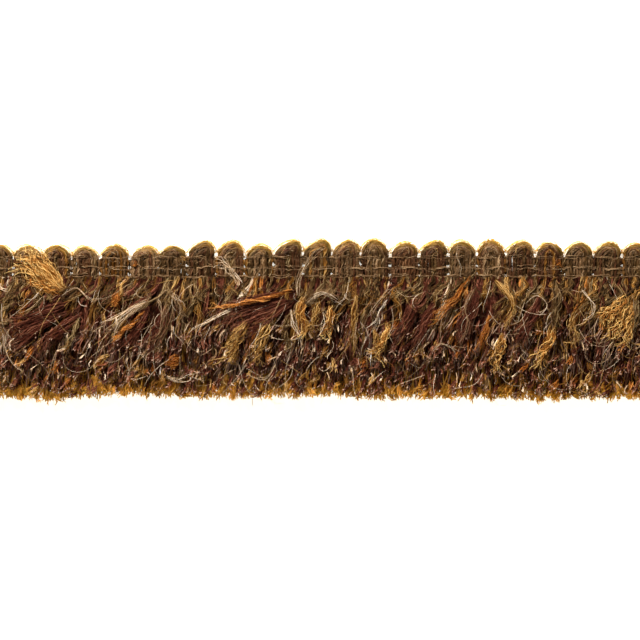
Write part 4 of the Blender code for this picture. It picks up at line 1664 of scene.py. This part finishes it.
@dataclass
class Marks:
    """The marked locks, and loose hairs over the whole pile."""

    layout: Layout
    root_dive: float = 1.4 * MM
    dive_share: float = 0.25
    hair_stations: int = 9
    hair_count: int = 480
    hair_radius: float = 0.041 * MM
    hair_shortest_mm: float = 3.0
    hair_spread_mm: float = 9.0
    hair_way: float = -1.95
    hair_way_spread: float = 0.6
    hair_curl: float = 0.11
    hair_drift: float = 0.09
    chance: np.random.Generator = field(
        default_factory=lambda: np.random.default_rng(SEED + 2)
    )

    def build(self) -> None:
        """Builds one piece for each yarn of the marked locks, and the hairs."""
        for name, heroes, node in (("marked", HEROES, "skirt_front"), ("slubs", SLUBS, "heading")):
            found: dict[Yarn, list[Strands]] = {}
            for hero in heroes:
                found.setdefault(hero.yarn, []).append(self._hero(hero))
            for yarn, groups in found.items():
                add_piece(f"{name}_{yarn.name.lower()}", groups, yarn.value, node)
        shares = ((Yarn.CREAM, 0.4), (Yarn.TAUPE, 0.2), (Yarn.OCHRE, 0.25), (Yarn.AUBERGINE, 0.15))
        for yarn, share in shares:
            hairs = self._hairs(int(self.hair_count * share))
            add_piece(f"hairs_{yarn.name.lower()}", [hairs], yarn.value, "skirt_front")

    def _hero(self, hero: Hero) -> Strands:
        """The strands of one marked lock, which dives into the pile at its root.

        Args:
            hero: The lock.

        Returns:
            Its strands.
        """
        stations = hero.style.stations
        flat = curve_through(hero.points_mm, stations) * MM
        share = np.linspace(0, 1, stations)
        height = self.layout.pile_height(flat[:, 1]) + (hero.over_mm - 0.5) * MM
        height = height - self.root_dive * (1 - ease(share / self.dive_share))
        line = np.column_stack([flat, height])
        style = replace(hero.style, width=hero.width_mm, strands=hero.strands)
        shade = np.array([self.chance.uniform(0.4, 0.6)])
        return style.fill(line[None], shade, self.chance)

    def _hairs(self, count: int) -> Strands:
        """Loose hairs that start anywhere on the pile and wander off over it.

        A hair's heading starts near the pile's own way, down and to the left, and turns
        at a rate that itself drifts, so that some hairs run on and others curl up.

        Args:
            count: How many hairs.

        Returns:
            The hairs.
        """
        lay = self.layout
        chance = self.chance
        x = chance.uniform(lay.left + 4 * MM, lay.right - 4 * MM, (count, 1))
        y = chance.uniform(lay.bottom + 6 * MM, lay.heading_base + 0.5 * MM, (count, 1))
        spread = self.hair_spread_mm * chance.random((count, 1)) ** 1.6
        length = (self.hair_shortest_mm + spread) * MM
        heading = chance.normal(self.hair_way, self.hair_way_spread, (count, 1))
        steps = self.hair_stations - 1
        drift = np.cumsum(chance.normal(0, self.hair_drift, (count, steps)), axis=1)
        curl = drift + chance.normal(0, self.hair_curl, (count, 1))
        turning = heading + np.cumsum(curl, axis=1)
        stride = length / steps
        start = np.zeros((count, 1))
        x = x + np.hstack([start, np.cumsum(np.cos(turning) * stride, axis=1)])
        y = y + np.hstack([start, np.cumsum(np.sin(turning) * stride, axis=1)])
        x = lay.inside(x, MM)
        y = np.clip(y, lay.bottom - 0.5 * MM, lay.top - MM)
        share = np.linspace(0, 1, self.hair_stations)[None, :]
        over = chance.uniform(0.0, 0.6, (count, 1))
        over = over + np.sin(np.pi * share) * chance.uniform(0.0, 0.9, (count, 1))
        z = lay.pile_height(y) + (over - 0.5) * MM
        radii = self.hair_radius * (0.6 + 0.7 * chance.random((count, 1))) * (1 - 0.5 * share)
        shades = chance.integers(SHADES // 4, SHADES, count)
        return Strands(np.stack([x, y, z], -1), radii, shades)


@dataclass(frozen=True)
class Lamp:
    """A square lamp that points at the middle of the trim; metres and watts."""

    name: str
    place: tuple[float, float, float]
    size: float
    power: float


LAMPS = (
    Lamp("key_light", (-0.16, 0.40, 0.36), 0.14, 8.55),
    Lamp("fill_light", (0.30, -0.16, 0.50), 0.40, 0.8),
)


@dataclass
class Studio:
    """The pale floor, soft light and the camera over the trim."""

    view_width: float = 148.5 * MM
    view_centre: tuple[float, float] = (-2.79 * MM, 0.23 * MM)
    subject_height: float = 3.0 * MM
    lens_mm: float = 100.0
    sensor_mm: float = 36.0
    floor_size: float = 4.0
    floor_glow: float = 1.0
    floor_colour: tuple[float, float, float, float] = (1.0, 0.95, 0.82, 1.0)
    surround: float = 0.11
    surround_colour: tuple[float, float, float, float] = (1.0, 0.88, 0.62, 1.0)
    lamp_colour: tuple[float, float, float] = (1.0, 0.875, 0.70)

    def build(self) -> None:
        """Sets the floor, the light and the camera."""
        self._floor()
        self._world()
        for lamp in LAMPS:
            self._light(lamp)
        self._camera()

    def _floor(self) -> None:
        """A plain white floor that shines a little, as a light table does."""
        half = self.floor_size / 2
        corners = [(-half, -half, 0), (half, -half, 0), (half, half, 0), (-half, half, 0)]
        mesh = bpy.data.meshes.new("floor")
        mesh.from_pydata(corners, [], [(0, 1, 2, 3)])
        floor = bpy.data.objects.new("floor", mesh)
        bpy.context.scene.collection.objects.link(floor)
        sheet = NodeSheet("floor_white")
        values = {
            "Base Color": (0.9, 0.9, 0.9, 1.0),
            "Roughness": 0.9,
            "Emission Color": self.floor_colour,
            "Emission Strength": self.floor_glow,
        }
        shader = sheet.node("ShaderNodeBsdfPrincipled", {}, values)
        sheet.node("ShaderNodeOutputMaterial", {}, {0: shader.outputs[0]})
        mesh.materials.append(sheet.material)

    def _world(self) -> None:
        """An even pale surround."""
        world = bpy.data.worlds.new("surround")
        world.use_nodes = True
        shade = world.node_tree.nodes["Background"]
        shade.inputs["Color"].default_value = self.surround_colour
        shade.inputs["Strength"].default_value = self.surround
        bpy.context.scene.world = world
        bpy.context.scene.view_settings.view_transform = "Standard"

    def _light(self, lamp: Lamp) -> None:
        """Adds one lamp.

        Args:
            lamp: Its name, place, size and power.
        """
        light = bpy.data.lights.new(lamp.name, "AREA")
        light.size = lamp.size
        light.energy = lamp.power
        light.color = self.lamp_colour
        holder = bpy.data.objects.new(lamp.name, light)
        bpy.context.scene.collection.objects.link(holder)
        holder.location = lamp.place
        holder.rotation_euler = (-Direction(lamp.place)).to_track_quat("-Z", "Y").to_euler()

    def _camera(self) -> None:
        """Looks straight down, far enough for the view to be as wide as the photo's."""
        data = bpy.data.cameras.new("camera")
        data.lens = self.lens_mm
        data.sensor_width = self.sensor_mm
        camera = bpy.data.objects.new("camera", data)
        bpy.context.scene.collection.objects.link(camera)
        distance = self.view_width * self.lens_mm / self.sensor_mm
        camera.location = (*self.view_centre, self.subject_height + distance)
        bpy.context.scene.camera = camera


def main() -> None:
    """Builds the trim and its studio."""
    logging.basicConfig(level=logging.INFO, format="%(name)s: %(message)s")
    layout = Layout()
    Heading(layout).build()
    Pile(layout).build()
    Marks(layout).build()
    Studio().build()


if __name__ == "__main__":
    main()
